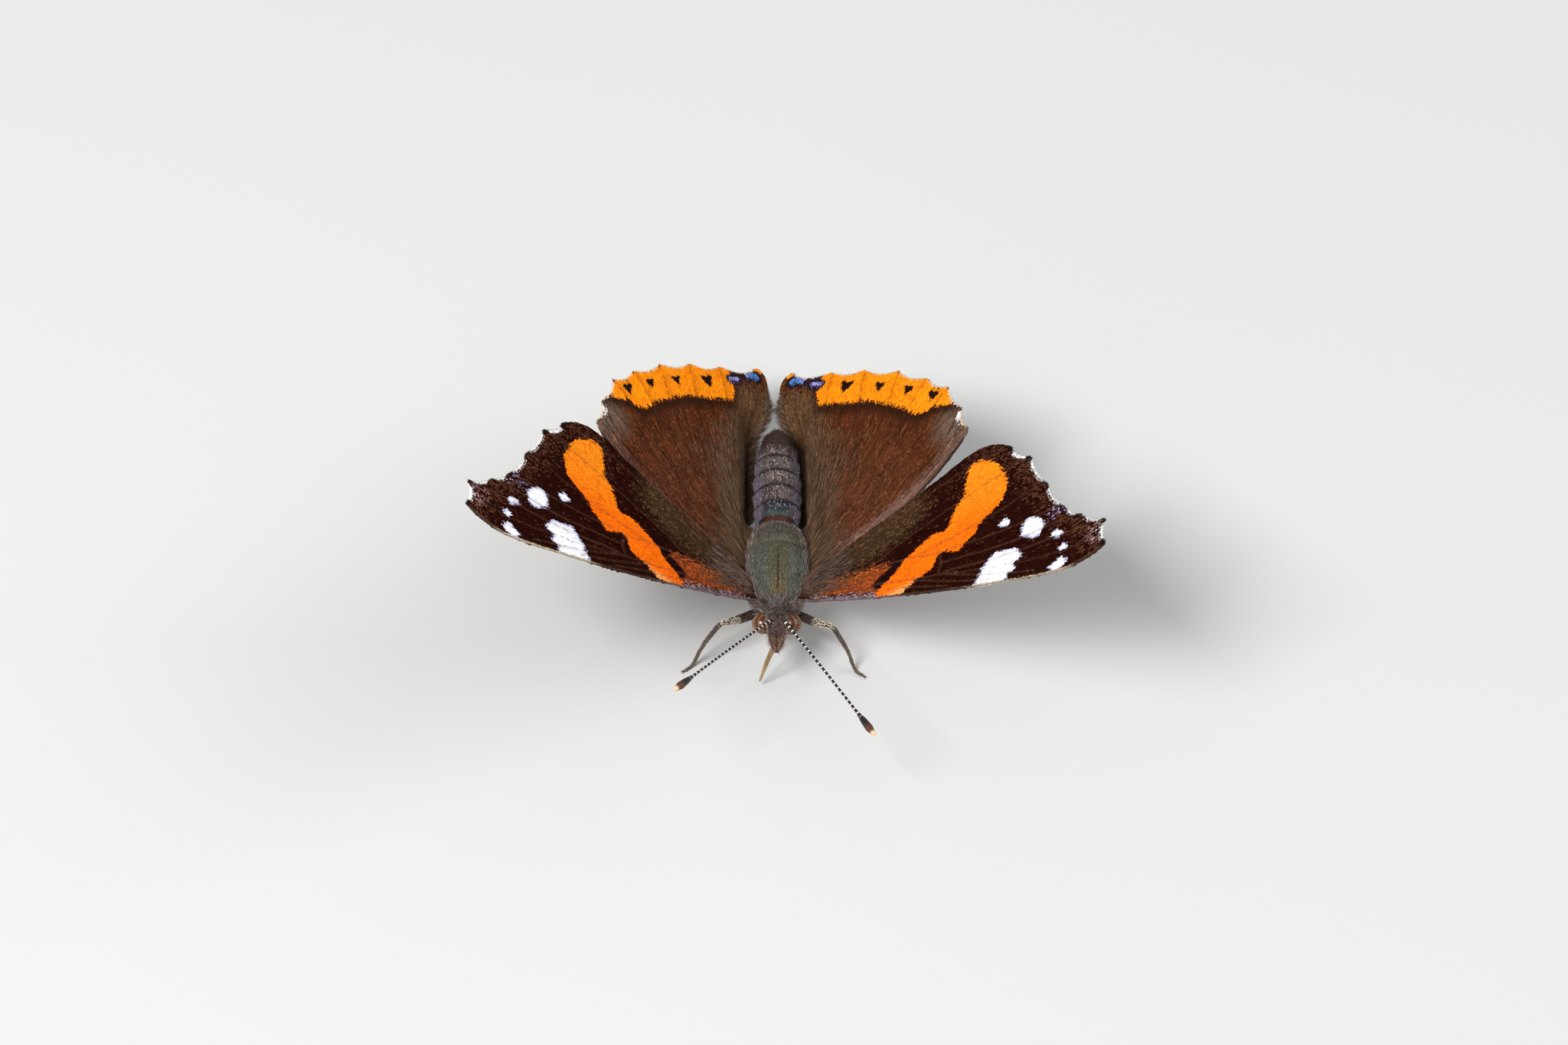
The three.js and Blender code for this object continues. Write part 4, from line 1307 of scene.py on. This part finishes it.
FOREWING_COLOURS = {
    "ground": (0.017, 0.0026, 0.0014),
    "brown_scales": (0.075, 0.028, 0.014),
    "olive": (0.052, 0.029, 0.012),
    "olive_scales": (0.1, 0.05, 0.024),
    "glow_rear": (0.16, 0.065, 0.018),
    "glow_front": (0.24, 0.05, 0.012),
    "glow_scales": (0.4, 0.075, 0.015),
    "strip": (0.17, 0.1, 0.1),
    "strip_scales": (0.27, 0.235, 0.3),
    "black": (0.012, 0.003, 0.003),
    "orange": (0.93, 0.16, 0.004),
    "orange_rear": (0.93, 0.25, 0.01),
    "orange_front": (0.95, 0.42, 0.12),
    "white": (0.94, 0.95, 0.98),
    "white_rim": (0.6, 0.6, 0.86),
    "vein": (0.1, 0.045, 0.024),
}
HINDWING_COLOURS = {
    "ground": (0.078, 0.02, 0.006),
    "warm": (0.11, 0.04, 0.02),
    "root": (0.1, 0.054, 0.025),
    # The strip colour is a painted pinkish sheen along the front edge
    "strip": (0.19, 0.11, 0.085),
    "corner": (0.13, 0.095, 0.07),
    "brown_scales": (0.15, 0.062, 0.032),
    "shadow": (0.022, 0.008, 0.004),
    "white": (0.85, 0.84, 0.82),
    "orange": (0.94, 0.265, 0.006),
    "orange_corner": (0.8, 0.42, 0.18),
    "black": (0.014, 0.006, 0.005),
    "lilac_rim": (0.012, 0.008, 0.014),
    "lilac": (0.3, 0.27, 0.62),
    "blue": (0.08, 0.22, 0.55),
    "vein": (0.05, 0.02, 0.01),
}
FOREWING_UNDER_COLOURS = {
    "ground": (0.022, 0.016, 0.016),
    "tip": (0.07, 0.05, 0.035),
    "tip_pale": (0.22, 0.16, 0.12),
    "strip": (0.35, 0.3, 0.28),
    "streak": (0.5, 0.14, 0.1),
    "blue": (0.1, 0.2, 0.42),
    "orange": (0.72, 0.2, 0.09),
    "white": (0.85, 0.84, 0.84),
    "vein": (0.12, 0.08, 0.05),
}
HINDWING_UNDER_COLOURS = {
    "ground": (0.045, 0.03, 0.024),
    "brown": (0.12, 0.075, 0.05),
    "line": (0.3, 0.24, 0.2),
    "dark": (0.016, 0.012, 0.014),
    "cream": (0.6, 0.52, 0.4),
    "ring": (0.2, 0.2, 0.22),
    "ring_middle": (0.02, 0.03, 0.05),
    "margin": (0.24, 0.17, 0.14),
    "vein": (0.2, 0.14, 0.1),
}
# Pale scales and a painted sheen gather at a few places of a forewing: centre, inner and outer distance,
# share, colour
FOREWING_DUST_AND_SHEEN = (
    # The two at the tip are brown scales with a painted pinkish sheen; the two further in are blue and lilac
    # scales
    ((29.3, 7.0), 0.3, 1.6, 0.5, (0.17, 0.085, 0.075)),
    ((29.3, 7.0), 0.2, 1.0, 0.2, (0.42, 0.32, 0.34)),
    ((25.4, 3.2), 0.3, 1.4, 0.16, (0.26, 0.25, 0.5)),
    ((26.5, 0.7), 0.3, 1.4, 0.14, (0.42, 0.34, 0.4)),
)
HINDWING_ROOT = (1.0, -3.0)
HINDWING_CORNER = (15.4, -9.6)
CREAM_PATCH = (11.5, -5.2)
HINDWING_TURN = 54


def forewing_upper(tools):
    """Black, browner along its edge in scales and a painted sheen, with an orange band, white spots, a glow
    at the root and a painted sheen at the tip.
    """
    colours = FOREWING_COLOURS
    paint = WingPaint("Forewing upper", colours["ground"], tools)
    tree = paint.tree
    # Browner scales towards the outer and rear edges, with a painted sheen over them there
    outer = ease(tree, paint.edge, 3.4, 0.4)
    rear = product(tree, ease(tree, paint.v, -1.0, -4.5), ease(tree, paint.u, 13, 19))
    amount = combine(tree, "MULTIPLY_ADD", combine(tree, "MAXIMUM", outer, rear), 0.36, 0.06)
    paint.sprinkle(amount, colours["brown_scales"])
    root = paint.mask("root", 1.4, 1.1)
    paint.lay(product(tree, root, 0.9), colours["olive"])
    paint.sprinkle(product(tree, root, 0.2), colours["olive_scales"])
    # Scales, and the painted sheen at the tip
    for centre, inner, outer, share, colour in FOREWING_DUST_AND_SHEEN:
        paint.sprinkle(product(tree, paint.near(centre, inner, outer), share), colour)
    glow = mix(tree, ease(tree, paint.v, -0.3, 1.2), colours["glow_rear"], colours["glow_front"])
    streak = paint.mask("streak", 0.5, 0.3)
    paint.lay(product(tree, streak, ease(tree, paint.u, -0.5, 2.0, 0.4, 0.95)), glow)
    paint.sprinkle(product(tree, streak, 0.3), colours["glow_scales"])
    strip = paint.mask("strip", 0.4, 0.2)
    paint.lay(product(tree, strip, 0.9), colours["strip"])
    paint.sprinkle(product(tree, strip, 0.4), colours["strip_scales"])
    paint.lay(paint.mask("black", 0.25, 0.08, 0.16), colours["black"])
    orange = mix(tree, ease(tree, paint.v, 1.5, -3.0), colours["orange"], colours["orange_rear"])
    orange = mix(tree, ease(tree, paint.v, 3.4, 4.2), orange, colours["orange_front"])
    paint.lay(paint.mask("band"), orange)
    inside = ease(tree, attribute(tree, "white"), 0.02, 0.25)
    paint.lay(paint.mask("white", 0.16), mix(tree, inside, colours["white_rim"], colours["white"]))
    paint.veins(colours["vein"], 0.36)
    paint.rim()
    return paint.finish()


def hindwing_upper(tools):
    """Streaky brown with a painted sheen along its front edge, an orange border, black hearts in it and blue
    and lilac spots at its rear.
    """
    colours = HINDWING_COLOURS
    paint = WingPaint("Hindwing upper", colours["ground"], tools, HINDWING_TURN)
    tree = paint.tree
    paint.lay(product(tree, paint.near(HINDWING_ROOT, 5.0, 17.0), 0.5), colours["warm"])
    paint.lay(product(tree, paint.mask("root", 1.2, 1.0), 0.9), colours["root"])
    # A painted pinkish sheen along the front edge
    paint.lay(product(tree, paint.mask("strip", 0.6, 0.5), 0.75), colours["strip"])
    paint.lay(product(tree, paint.near(HINDWING_CORNER, 0.8, 3.2), 0.7), colours["corner"])
    paint.colour = scaled(tree, paint.colour, ease(tree, paint.streaks(), 0.32, 0.68, 0.5, 1.6))
    paint.sprinkle(0.08, colours["brown_scales"])
    shadow = product(tree, paint.mask("band", 0.7, 0.35, 0.85), ease(tree, paint.u, -0.5, 1.5))
    paint.lay(product(tree, shadow, 0.85), colours["shadow"])
    paint.lay(paint.mask("white", 0.3, 0.1), colours["white"])
    orange = mix(tree, ease(tree, paint.u, 14.5, 16.5), colours["orange"], colours["orange_corner"])
    paint.lay(paint.mask("band", 0.2), orange)
    paint.lay(paint.mask("black", 0.1, 0.05, 0.03), colours["black"])
    paint.lay(paint.mask("lilac", 0.25, 0.06, 0.32), colours["lilac_rim"])
    blue = mix(tree, ease(tree, paint.u, 0.2, -1.4), colours["lilac"], colours["blue"])
    paint.lay(product(tree, paint.mask("lilac", 0.2, 0.05, -0.03), 0.9), blue)
    paint.veins(colours["vein"], 0.4)
    return paint.finish()


def forewing_under(tools):
    """Paler bands than above, and a mottled brown tip."""
    colours = FOREWING_UNDER_COLOURS
    paint = WingPaint("Forewing under", colours["ground"], tools)
    tree = paint.tree
    mottle = ease(tree, paint.grain["Drift"], 0.42, 0.58)
    paint.lay(ease(tree, paint.edge, 6.0, 2.5), mix(tree, mottle, colours["tip"], colours["tip_pale"]))
    paint.lay(paint.mask("strip", 0.4, 0.2), colours["strip"])
    paint.lay(product(tree, paint.mask("streak", 0.5, 0.3), 0.6), colours["streak"])
    paint.lay(paint.mask("black", 0.2, 0.08, 0.15), colours["blue"])
    paint.lay(paint.mask("band"), colours["orange"])
    paint.lay(paint.mask("white", 0.16), colours["white"])
    paint.veins(colours["vein"], 0.5)
    return paint.finish()


def hindwing_under(tools):
    """Marbled like bark, with a faint row of rings and a cream patch on the front edge."""
    colours = HINDWING_UNDER_COLOURS
    paint = WingPaint("Hindwing under", colours["ground"], tools, HINDWING_TURN)
    tree = paint.tree
    marble = noise_tone(tree, paint.place, 0.45, 7.0)
    paint.lay(ease(tree, marble, 0.42, 0.5), colours["brown"])
    paint.lay(between(tree, marble, 0.52, 0.56, 0.01), colours["line"])
    paint.lay(ease(tree, marble, 0.6, 0.66), colours["dark"])
    paint.lay(product(tree, paint.near(CREAM_PATCH, 0.8, 1.8), 0.8), colours["cream"])
    paint.lay(product(tree, paint.mask("black", 0.3, 0.2, 0.55), 0.7), colours["ring"])
    paint.lay(paint.mask("black", 0.2, 0.1, 0.25), colours["ring_middle"])
    paint.lay(product(tree, ease(tree, paint.edge, 1.2, 0.4), 0.6), colours["margin"])
    paint.veins(colours["vein"], 0.5)
    return paint.finish()


def wing_edge():
    """The cut edge of a wing, paler towards the root."""
    material, tree, shader = new_material("Wing edge", (0.05, 0.03, 0.02), 0.8, 0.1)
    plan = add_node(tree, "ShaderNodeUVMap", uv_map="Plan").outputs[0]
    reach = axes_of(tree, plan)[0]
    colour = mix(tree, ease(tree, reach, 0.56, 0.62), (0.2, 0.14, 0.15), (0.06, 0.03, 0.02))
    colour = mix(tree, between(tree, reach, 0.67, 0.77, 0.01), colour, (0.5, 0.4, 0.27))
    grain = noise_tone(tree, object_place(tree), 9 / MM)
    tree.links.new(scaled(tree, colour, ease(tree, grain, 0.3, 0.7, 0.5, 1.5)), shader.inputs["Base Color"])
    return material


def skin_material(tools):
    """The body under its coat, in the coat's markings but darker."""
    material, tree, shader = new_material("Body skin", (0.05, 0.03, 0.02), 0.42, 0.4)
    colour = use_group(tree, tools["markings"], {"Place": object_place(tree)})["Colour"]
    tree.links.new(scaled(tree, colour, 0.6), shader.inputs["Base Color"])
    add_bump(tree, shader, noise_tone(tree, object_place(tree), 7 / MM), 0.06)
    return material


def coat_material(tools):
    """Locks of the body's coat: its markings, paler towards the tip and from lock to lock."""
    material, tree, shader = new_material("Body coat", (0.05, 0.03, 0.02), 0.5, 0.3)
    colour = use_group(tree, tools["markings"], {"Place": object_place(tree)})["Colour"]
    colour = mix(tree, attribute(tree, "tint"), colour, (0.5, 0.42, 0.38))
    tone = ease(tree, attribute(tree, "shade"), 0.0, 1.0, 0.65, 1.45)
    tip = ease(tree, attribute(tree, "along"), 0.0, 1.0, 0.65, 1.3)
    tree.links.new(scaled(tree, colour, product(tree, tone, tip)), shader.inputs["Base Color"])
    return material


def lock_material(name, low, high):
    """Locks between two colours by their own tint, each a little different."""
    material, tree, shader = new_material(name, low, 0.5, 0.3)
    colour = mix(tree, attribute(tree, "tint"), low, high)
    tone = ease(tree, attribute(tree, "shade"), 0.0, 1.0, 0.75, 1.25)
    tree.links.new(scaled(tree, colour, tone), shader.inputs["Base Color"])
    return material


EYE_COLOURS = {
    "ground": (0.2, 0.08, 0.03),
    "brown": (0.17, 0.06, 0.015),
    # dark: the rings of a painted pseudopupil; pale: a painted sheen where the eye turns away from the pole
    "dark": (0.04, 0.011, 0.006),
    "pale": (0.3, 0.17, 0.07),
}
PSEUDOPUPIL_RINGS = 2.6
FACETS_PER_MM = 24


def eye_material():
    """Brown glass in dark rings round a pole on the eye's inner front, a painted pseudopupil, with one pale
    ring, a painted sheen, where the eye turns away from the pole.
    """
    material, tree, shader = new_material("Eye", EYE_COLOURS["ground"], 0.25, 0.5)
    spot = object_place(tree)
    x, y, z = body_axes(tree, spot)
    pole = combine(tree, "MULTIPLY_ADD", noise_tone(tree, spot, 2.5 / MM), 0.3, 0.0)
    for axis, middle, share in zip((combine(tree, "ABSOLUTE", x), y, z), EYE["centre"], EYE["pole"]):
        away = combine(tree, "SUBTRACT", axis, middle)
        pole = combine(tree, "MULTIPLY_ADD", away, share / EYE["radius"], pole)
    rings = combine(tree, "FRACT", combine(tree, "MULTIPLY", pole, PSEUDOPUPIL_RINGS))
    colour = mix(tree, between(tree, rings, 0.2, 0.7, 0.2), EYE_COLOURS["brown"], EYE_COLOURS["dark"])
    colour = mix(tree, between(tree, pole, -0.05, 0.17, 0.08), colour, EYE_COLOURS["pale"])
    tree.links.new(colour, shader.inputs["Base Color"])
    facets = add_node(tree, "ShaderNodeTexVoronoi", {"Vector": spot, "Scale": FACETS_PER_MM / MM})
    add_bump(tree, shader, facets.outputs["Distance"], 0.01, 0.3)
    shader.inputs["Coat Weight"].default_value = 0.25
    shader.inputs["Coat Roughness"].default_value = 0.15
    return material


ANTENNA_COLOURS = {
    "black": (0.014, 0.01, 0.009),
    "ring": (0.72, 0.68, 0.62),
    "club": (0.09, 0.025, 0.012),
    "tip": (0.8, 0.52, 0.3),
}


def antenna_material():
    """Black with a white ring at each joint, and a pale tip to the club."""
    colours = ANTENNA_COLOURS
    material, tree, shader = new_material("Antenna", colours["black"], 0.45, 0.4)
    along = attribute(tree, "along")
    phase = combine(tree, "FRACT", combine(tree, "MULTIPLY", along, float(ANTENNA["joints"])))
    ring = product(tree, between(tree, phase, 0.68, 0.94, 0.04), ease(tree, along, 0.86, 0.83))
    colour = mix(tree, ring, colours["black"], colours["ring"])
    colour = mix(tree, ease(tree, along, 0.9, 0.95), colour, colours["club"])
    colour = mix(tree, ease(tree, along, 0.965, 0.985), colour, colours["tip"])
    tree.links.new(colour, shader.inputs["Base Color"])
    return material


def limb_material(name, root, tip, roughness=0.5):
    """A limb that goes from one colour to another along its length, with a fine grain."""
    material, tree, shader = new_material(name, root, roughness, 0.4)
    colour = mix(tree, ease(tree, attribute(tree, "along"), 0.45, 0.8), root, tip)
    grain = noise_tone(tree, object_place(tree), 9 / MM)
    colour = scaled(tree, colour, ease(tree, grain, 0.3, 0.7, 0.65, 1.35))
    tree.links.new(colour, shader.inputs["Base Color"])
    add_bump(tree, shader, grain, 0.02)
    return material


# Stage
FLOOR_HALF_WIDTH = 1.5
FLOOR_COLOUR = (0.6, 0.6, 0.59)
ROOM_COLOUR = (0.95, 0.97, 1, 1)
ROOM_STRENGTH = 0.4
LIGHTS = {
    "key": ((-0.3, -0.3, 0.6), 0.25, 5.5),
    "fill": ((0.5, 0.1, 0.45), 0.5, 2.0),
}


def add_light(name, position, size, power):
    """A square lamp that faces the body."""
    light = bpy.data.lights.new(name, "AREA")
    light.size = size
    light.energy = power
    lamp = bpy.data.objects.new(name, light)
    lamp.location = position
    lamp.rotation_euler = (-Vector(position)).to_track_quat("-Z", "Y").to_euler()
    bpy.context.scene.collection.objects.link(lamp)


def build_stage():
    """A plain pale floor in a plain pale room, under two soft lamps."""
    bm = bmesh.new()
    bmesh.ops.create_grid(bm, x_segments=1, y_segments=1, size=FLOOR_HALF_WIDTH)
    mesh = bpy.data.meshes.new("floor")
    bm.to_mesh(mesh)
    bm.free()
    floor = bpy.data.objects.new("floor", mesh)
    mesh.materials.append(new_material("Floor", FLOOR_COLOUR, 0.8)[0])
    bpy.context.scene.collection.objects.link(floor)
    world = bpy.data.worlds.new("Pale room")
    world.use_nodes = True
    world.node_tree.nodes["Background"].inputs["Color"].default_value = ROOM_COLOUR
    world.node_tree.nodes["Background"].inputs["Strength"].default_value = ROOM_STRENGTH
    bpy.context.scene.world = world
    bpy.context.scene.view_settings.view_transform = "Standard"
    for name, (position, size, power) in LIGHTS.items():
        add_light(name, position, size, power)


def build_camera():
    """A long lens that sees the body at the picture's angle and scale."""
    level = Vector((math.cos(AZIMUTH), math.sin(AZIMUTH), 0))
    back = Vector((
        math.sin(AZIMUTH) * math.cos(ELEVATION),
        -math.cos(AZIMUTH) * math.cos(ELEVATION),
        math.sin(ELEVATION),
    ))
    upright = back.cross(level)
    right = level * math.cos(ROLL) - upright * math.sin(ROLL)
    top = upright * math.cos(ROLL) + level * math.sin(ROLL)
    camera = bpy.data.cameras.new("camera")
    camera.sensor_width = SENSOR
    camera.lens = SENSOR * CAMERA_AWAY / (PICTURE_WIDTH / PIXELS_PER_MM * MM)
    camera.clip_start = CAMERA_AWAY / 20
    camera.clip_end = CAMERA_AWAY * 5
    holder = bpy.data.objects.new("camera", camera)
    turn = Matrix((right, top, back)).transposed().to_4x4()
    turn.translation = place(right * AIM[0] + top * AIM[1]) + back * CAMERA_AWAY
    holder.matrix_world = turn
    bpy.context.scene.collection.objects.link(holder)
    bpy.context.scene.camera = holder


# Assembly
WING_HAIRS = {"forewing": (forewing_form, 2400), "hindwing": (hindwing_form, 5600)}
HAIR_REACH = (0.0, 0.7)
BODY_COATS = {
    "thorax": (thorax_form, 11000, 0.1, 0.65),
    "head": (head_form, 7000, 0.0, 0.25),
    "abdomen": (abdomen_form, 11000, 0.45, 1.0),
}
LEG_SCALES = 1500
FORELEG_SCALES = 600
PALP_HAIRS = 1300


def build_wing(wing, name, number, looks):
    """The membrane, its fringe, and scales and hair on both sides."""
    kind = wing.shape["kind"]
    upper, under, edge = looks["membrane"]
    seed = number * 4 + wing.side
    wing_piece(wing, name, [upper, under, edge])
    wing_scales(wing, f"{name}_scales_above", upper, 10 + seed)
    fringe(wing, f"fringe_{name}", looks["fringe"], 40 + number + wing.side)
    form, count = WING_HAIRS[kind]
    coat = Coat(20 + seed).grow(wing, count, form, *HAIR_REACH)
    wing.facing = -1
    coat.grow(wing, count // 3, form, *HAIR_REACH)
    if wing.shape is HINDWING:
        inner_hair(wing, coat)
    coat.finish(f"{name}_hair", looks["hair"], kind)
    wing_scales(wing, f"{name}_scales_below", under, 30 + seed, SCALES_BELOW)


def build_wings(tools):
    edge = wing_edge()
    looks = {
        "forewing": {
            "membrane": (forewing_upper(tools), forewing_under(tools), edge),
            "fringe": lock_material("Forewing fringe", (0.016, 0.01, 0.009), (0.9, 0.89, 0.88)),
            "hair": lock_material("Forewing hair", (0.05, 0.026, 0.014), (0.28, 0.18, 0.15)),
        },
        "hindwing": {
            "membrane": (hindwing_upper(tools), hindwing_under(tools), edge),
            "fringe": lock_material("Hindwing fringe", (0.03, 0.012, 0.008), (0.93, 0.66, 0.42)),
            "hair": lock_material("Hindwing hair", (0.07, 0.034, 0.016), (0.26, 0.16, 0.09)),
        },
    }
    for side_name, side in SIDES:
        for number, shape in enumerate((FOREWING, HINDWING)):
            kind = shape["kind"]
            build_wing(Wing(shape, side), f"{kind}_{side_name}", number, looks[kind])


def antenna_path(side_name, side):
    """A nearly straight line from the crown to the club that bows up a little."""
    base = Vector(mirrored([ANTENNA["base"]], side)[0])
    reach = Vector(ANTENNA[side_name])
    shares = [i / 8 for i in range(9)]
    return [
        base + reach * share + Vector((0, 0, ANTENNA["bow"] * math.sin(math.pi * share)))
        for share in shares
    ]


def build_head_parts():
    eye_look = eye_material()
    antenna_look = antenna_material()
    palp_look = limb_material("Palp", (0.1, 0.045, 0.032), (0.13, 0.06, 0.045))
    # Its pale end colours the pale bristles and eye rims, and a painted highlight on top of the palps
    palp_hair = lock_material("Palp hair", (0.12, 0.046, 0.028), (0.5, 0.36, 0.28))
    for side_name, side in SIDES:
        eye_piece(f"eye_{side_name}", side, eye_look)
        palp = Limb(mirrored(PALP["path"], side), PALP["radii"])
        limb_piece(f"palp_{side_name}_skin", palp, palp_look, "palp", (f"palp_{side_name}",), 16, 24)
        coat = Coat(60 + side).grow(palp, PALP_HAIRS, palp_form, 0.0, 0.97)
        coat.finish(f"palp_{side_name}_hair", palp_hair, "palp")
        eye_rim(side, palp_hair, f"eye_{side_name}_rim")
        name = f"antenna_{side_name}"
        antenna = Limb(antenna_path(side_name, side), ANTENNA["radii"])
        limb_piece(f"{name}_shaft", antenna, antenna_look, "antenna", (name,), 12, 240)


def build_proboscis():
    """Two tubes side by side, which meet along the middle and part a little at the head."""
    straw = limb_material("Proboscis", (0.26, 0.16, 0.07), (0.4, 0.29, 0.15), 0.35)
    for side_name, side in SIDES:
        path = [
            (x + side * apart, y, z)
            for (x, y, z), apart in zip(PROBOSCIS["path"], PROBOSCIS["apart"])
        ]
        half = Limb(path, PROBOSCIS["radii"])
        limb_piece(f"proboscis_{side_name}_half", half, straw, "proboscis", ("proboscis",), 12, 60)


def build_legs():
    leg_look = limb_material("Leg", (0.04, 0.022, 0.014), (0.14, 0.085, 0.045))
    scale_look = lock_material("Leg scales", (0.05, 0.03, 0.02), (0.8, 0.72, 0.58))
    claw_look = limb_material("Claw", (0.03, 0.012, 0.008), (0.02, 0.01, 0.008), 0.25)
    for side_name, side in SIDES:
        for number, (kind, path) in enumerate(LEGS.items()):
            name = f"{kind}_{side_name}"
            short = kind == "foreleg"
            leg = Limb(mirrored(path, side), FORELEG_RADII if short else LEG_RADII)
            limb_piece(f"{name}_skin", leg, leg_look, "leg", (name,), 14, 60)
            count = FORELEG_SCALES if short else LEG_SCALES
            coat = Coat(80 + number * 4 + side).grow(leg, count, leg_form, 0.08, 0.98)
            coat.finish(f"{name}_scales", scale_look, "leg")
            if not short:
                claws(name, leg, claw_look)


def build_body(tools):
    body = Body()
    body_piece(body, skin_material(tools))
    look = coat_material(tools)
    for seed, (name, (form, count, start, end)) in enumerate(BODY_COATS.items(), 1):
        Coat(seed).grow(body, count, form, start, end).finish(f"coat_{name}", look, name)


tools = {
    "grain": scale_grain(),
    "mask": ragged_mask(),
    "speckle": speckle(),
    "streaks": hair_streaks(),
    "markings": body_markings(),
}
build_camera()
build_stage()
build_wings(tools)
build_head_parts()
build_proboscis()
build_legs()
build_body(tools)
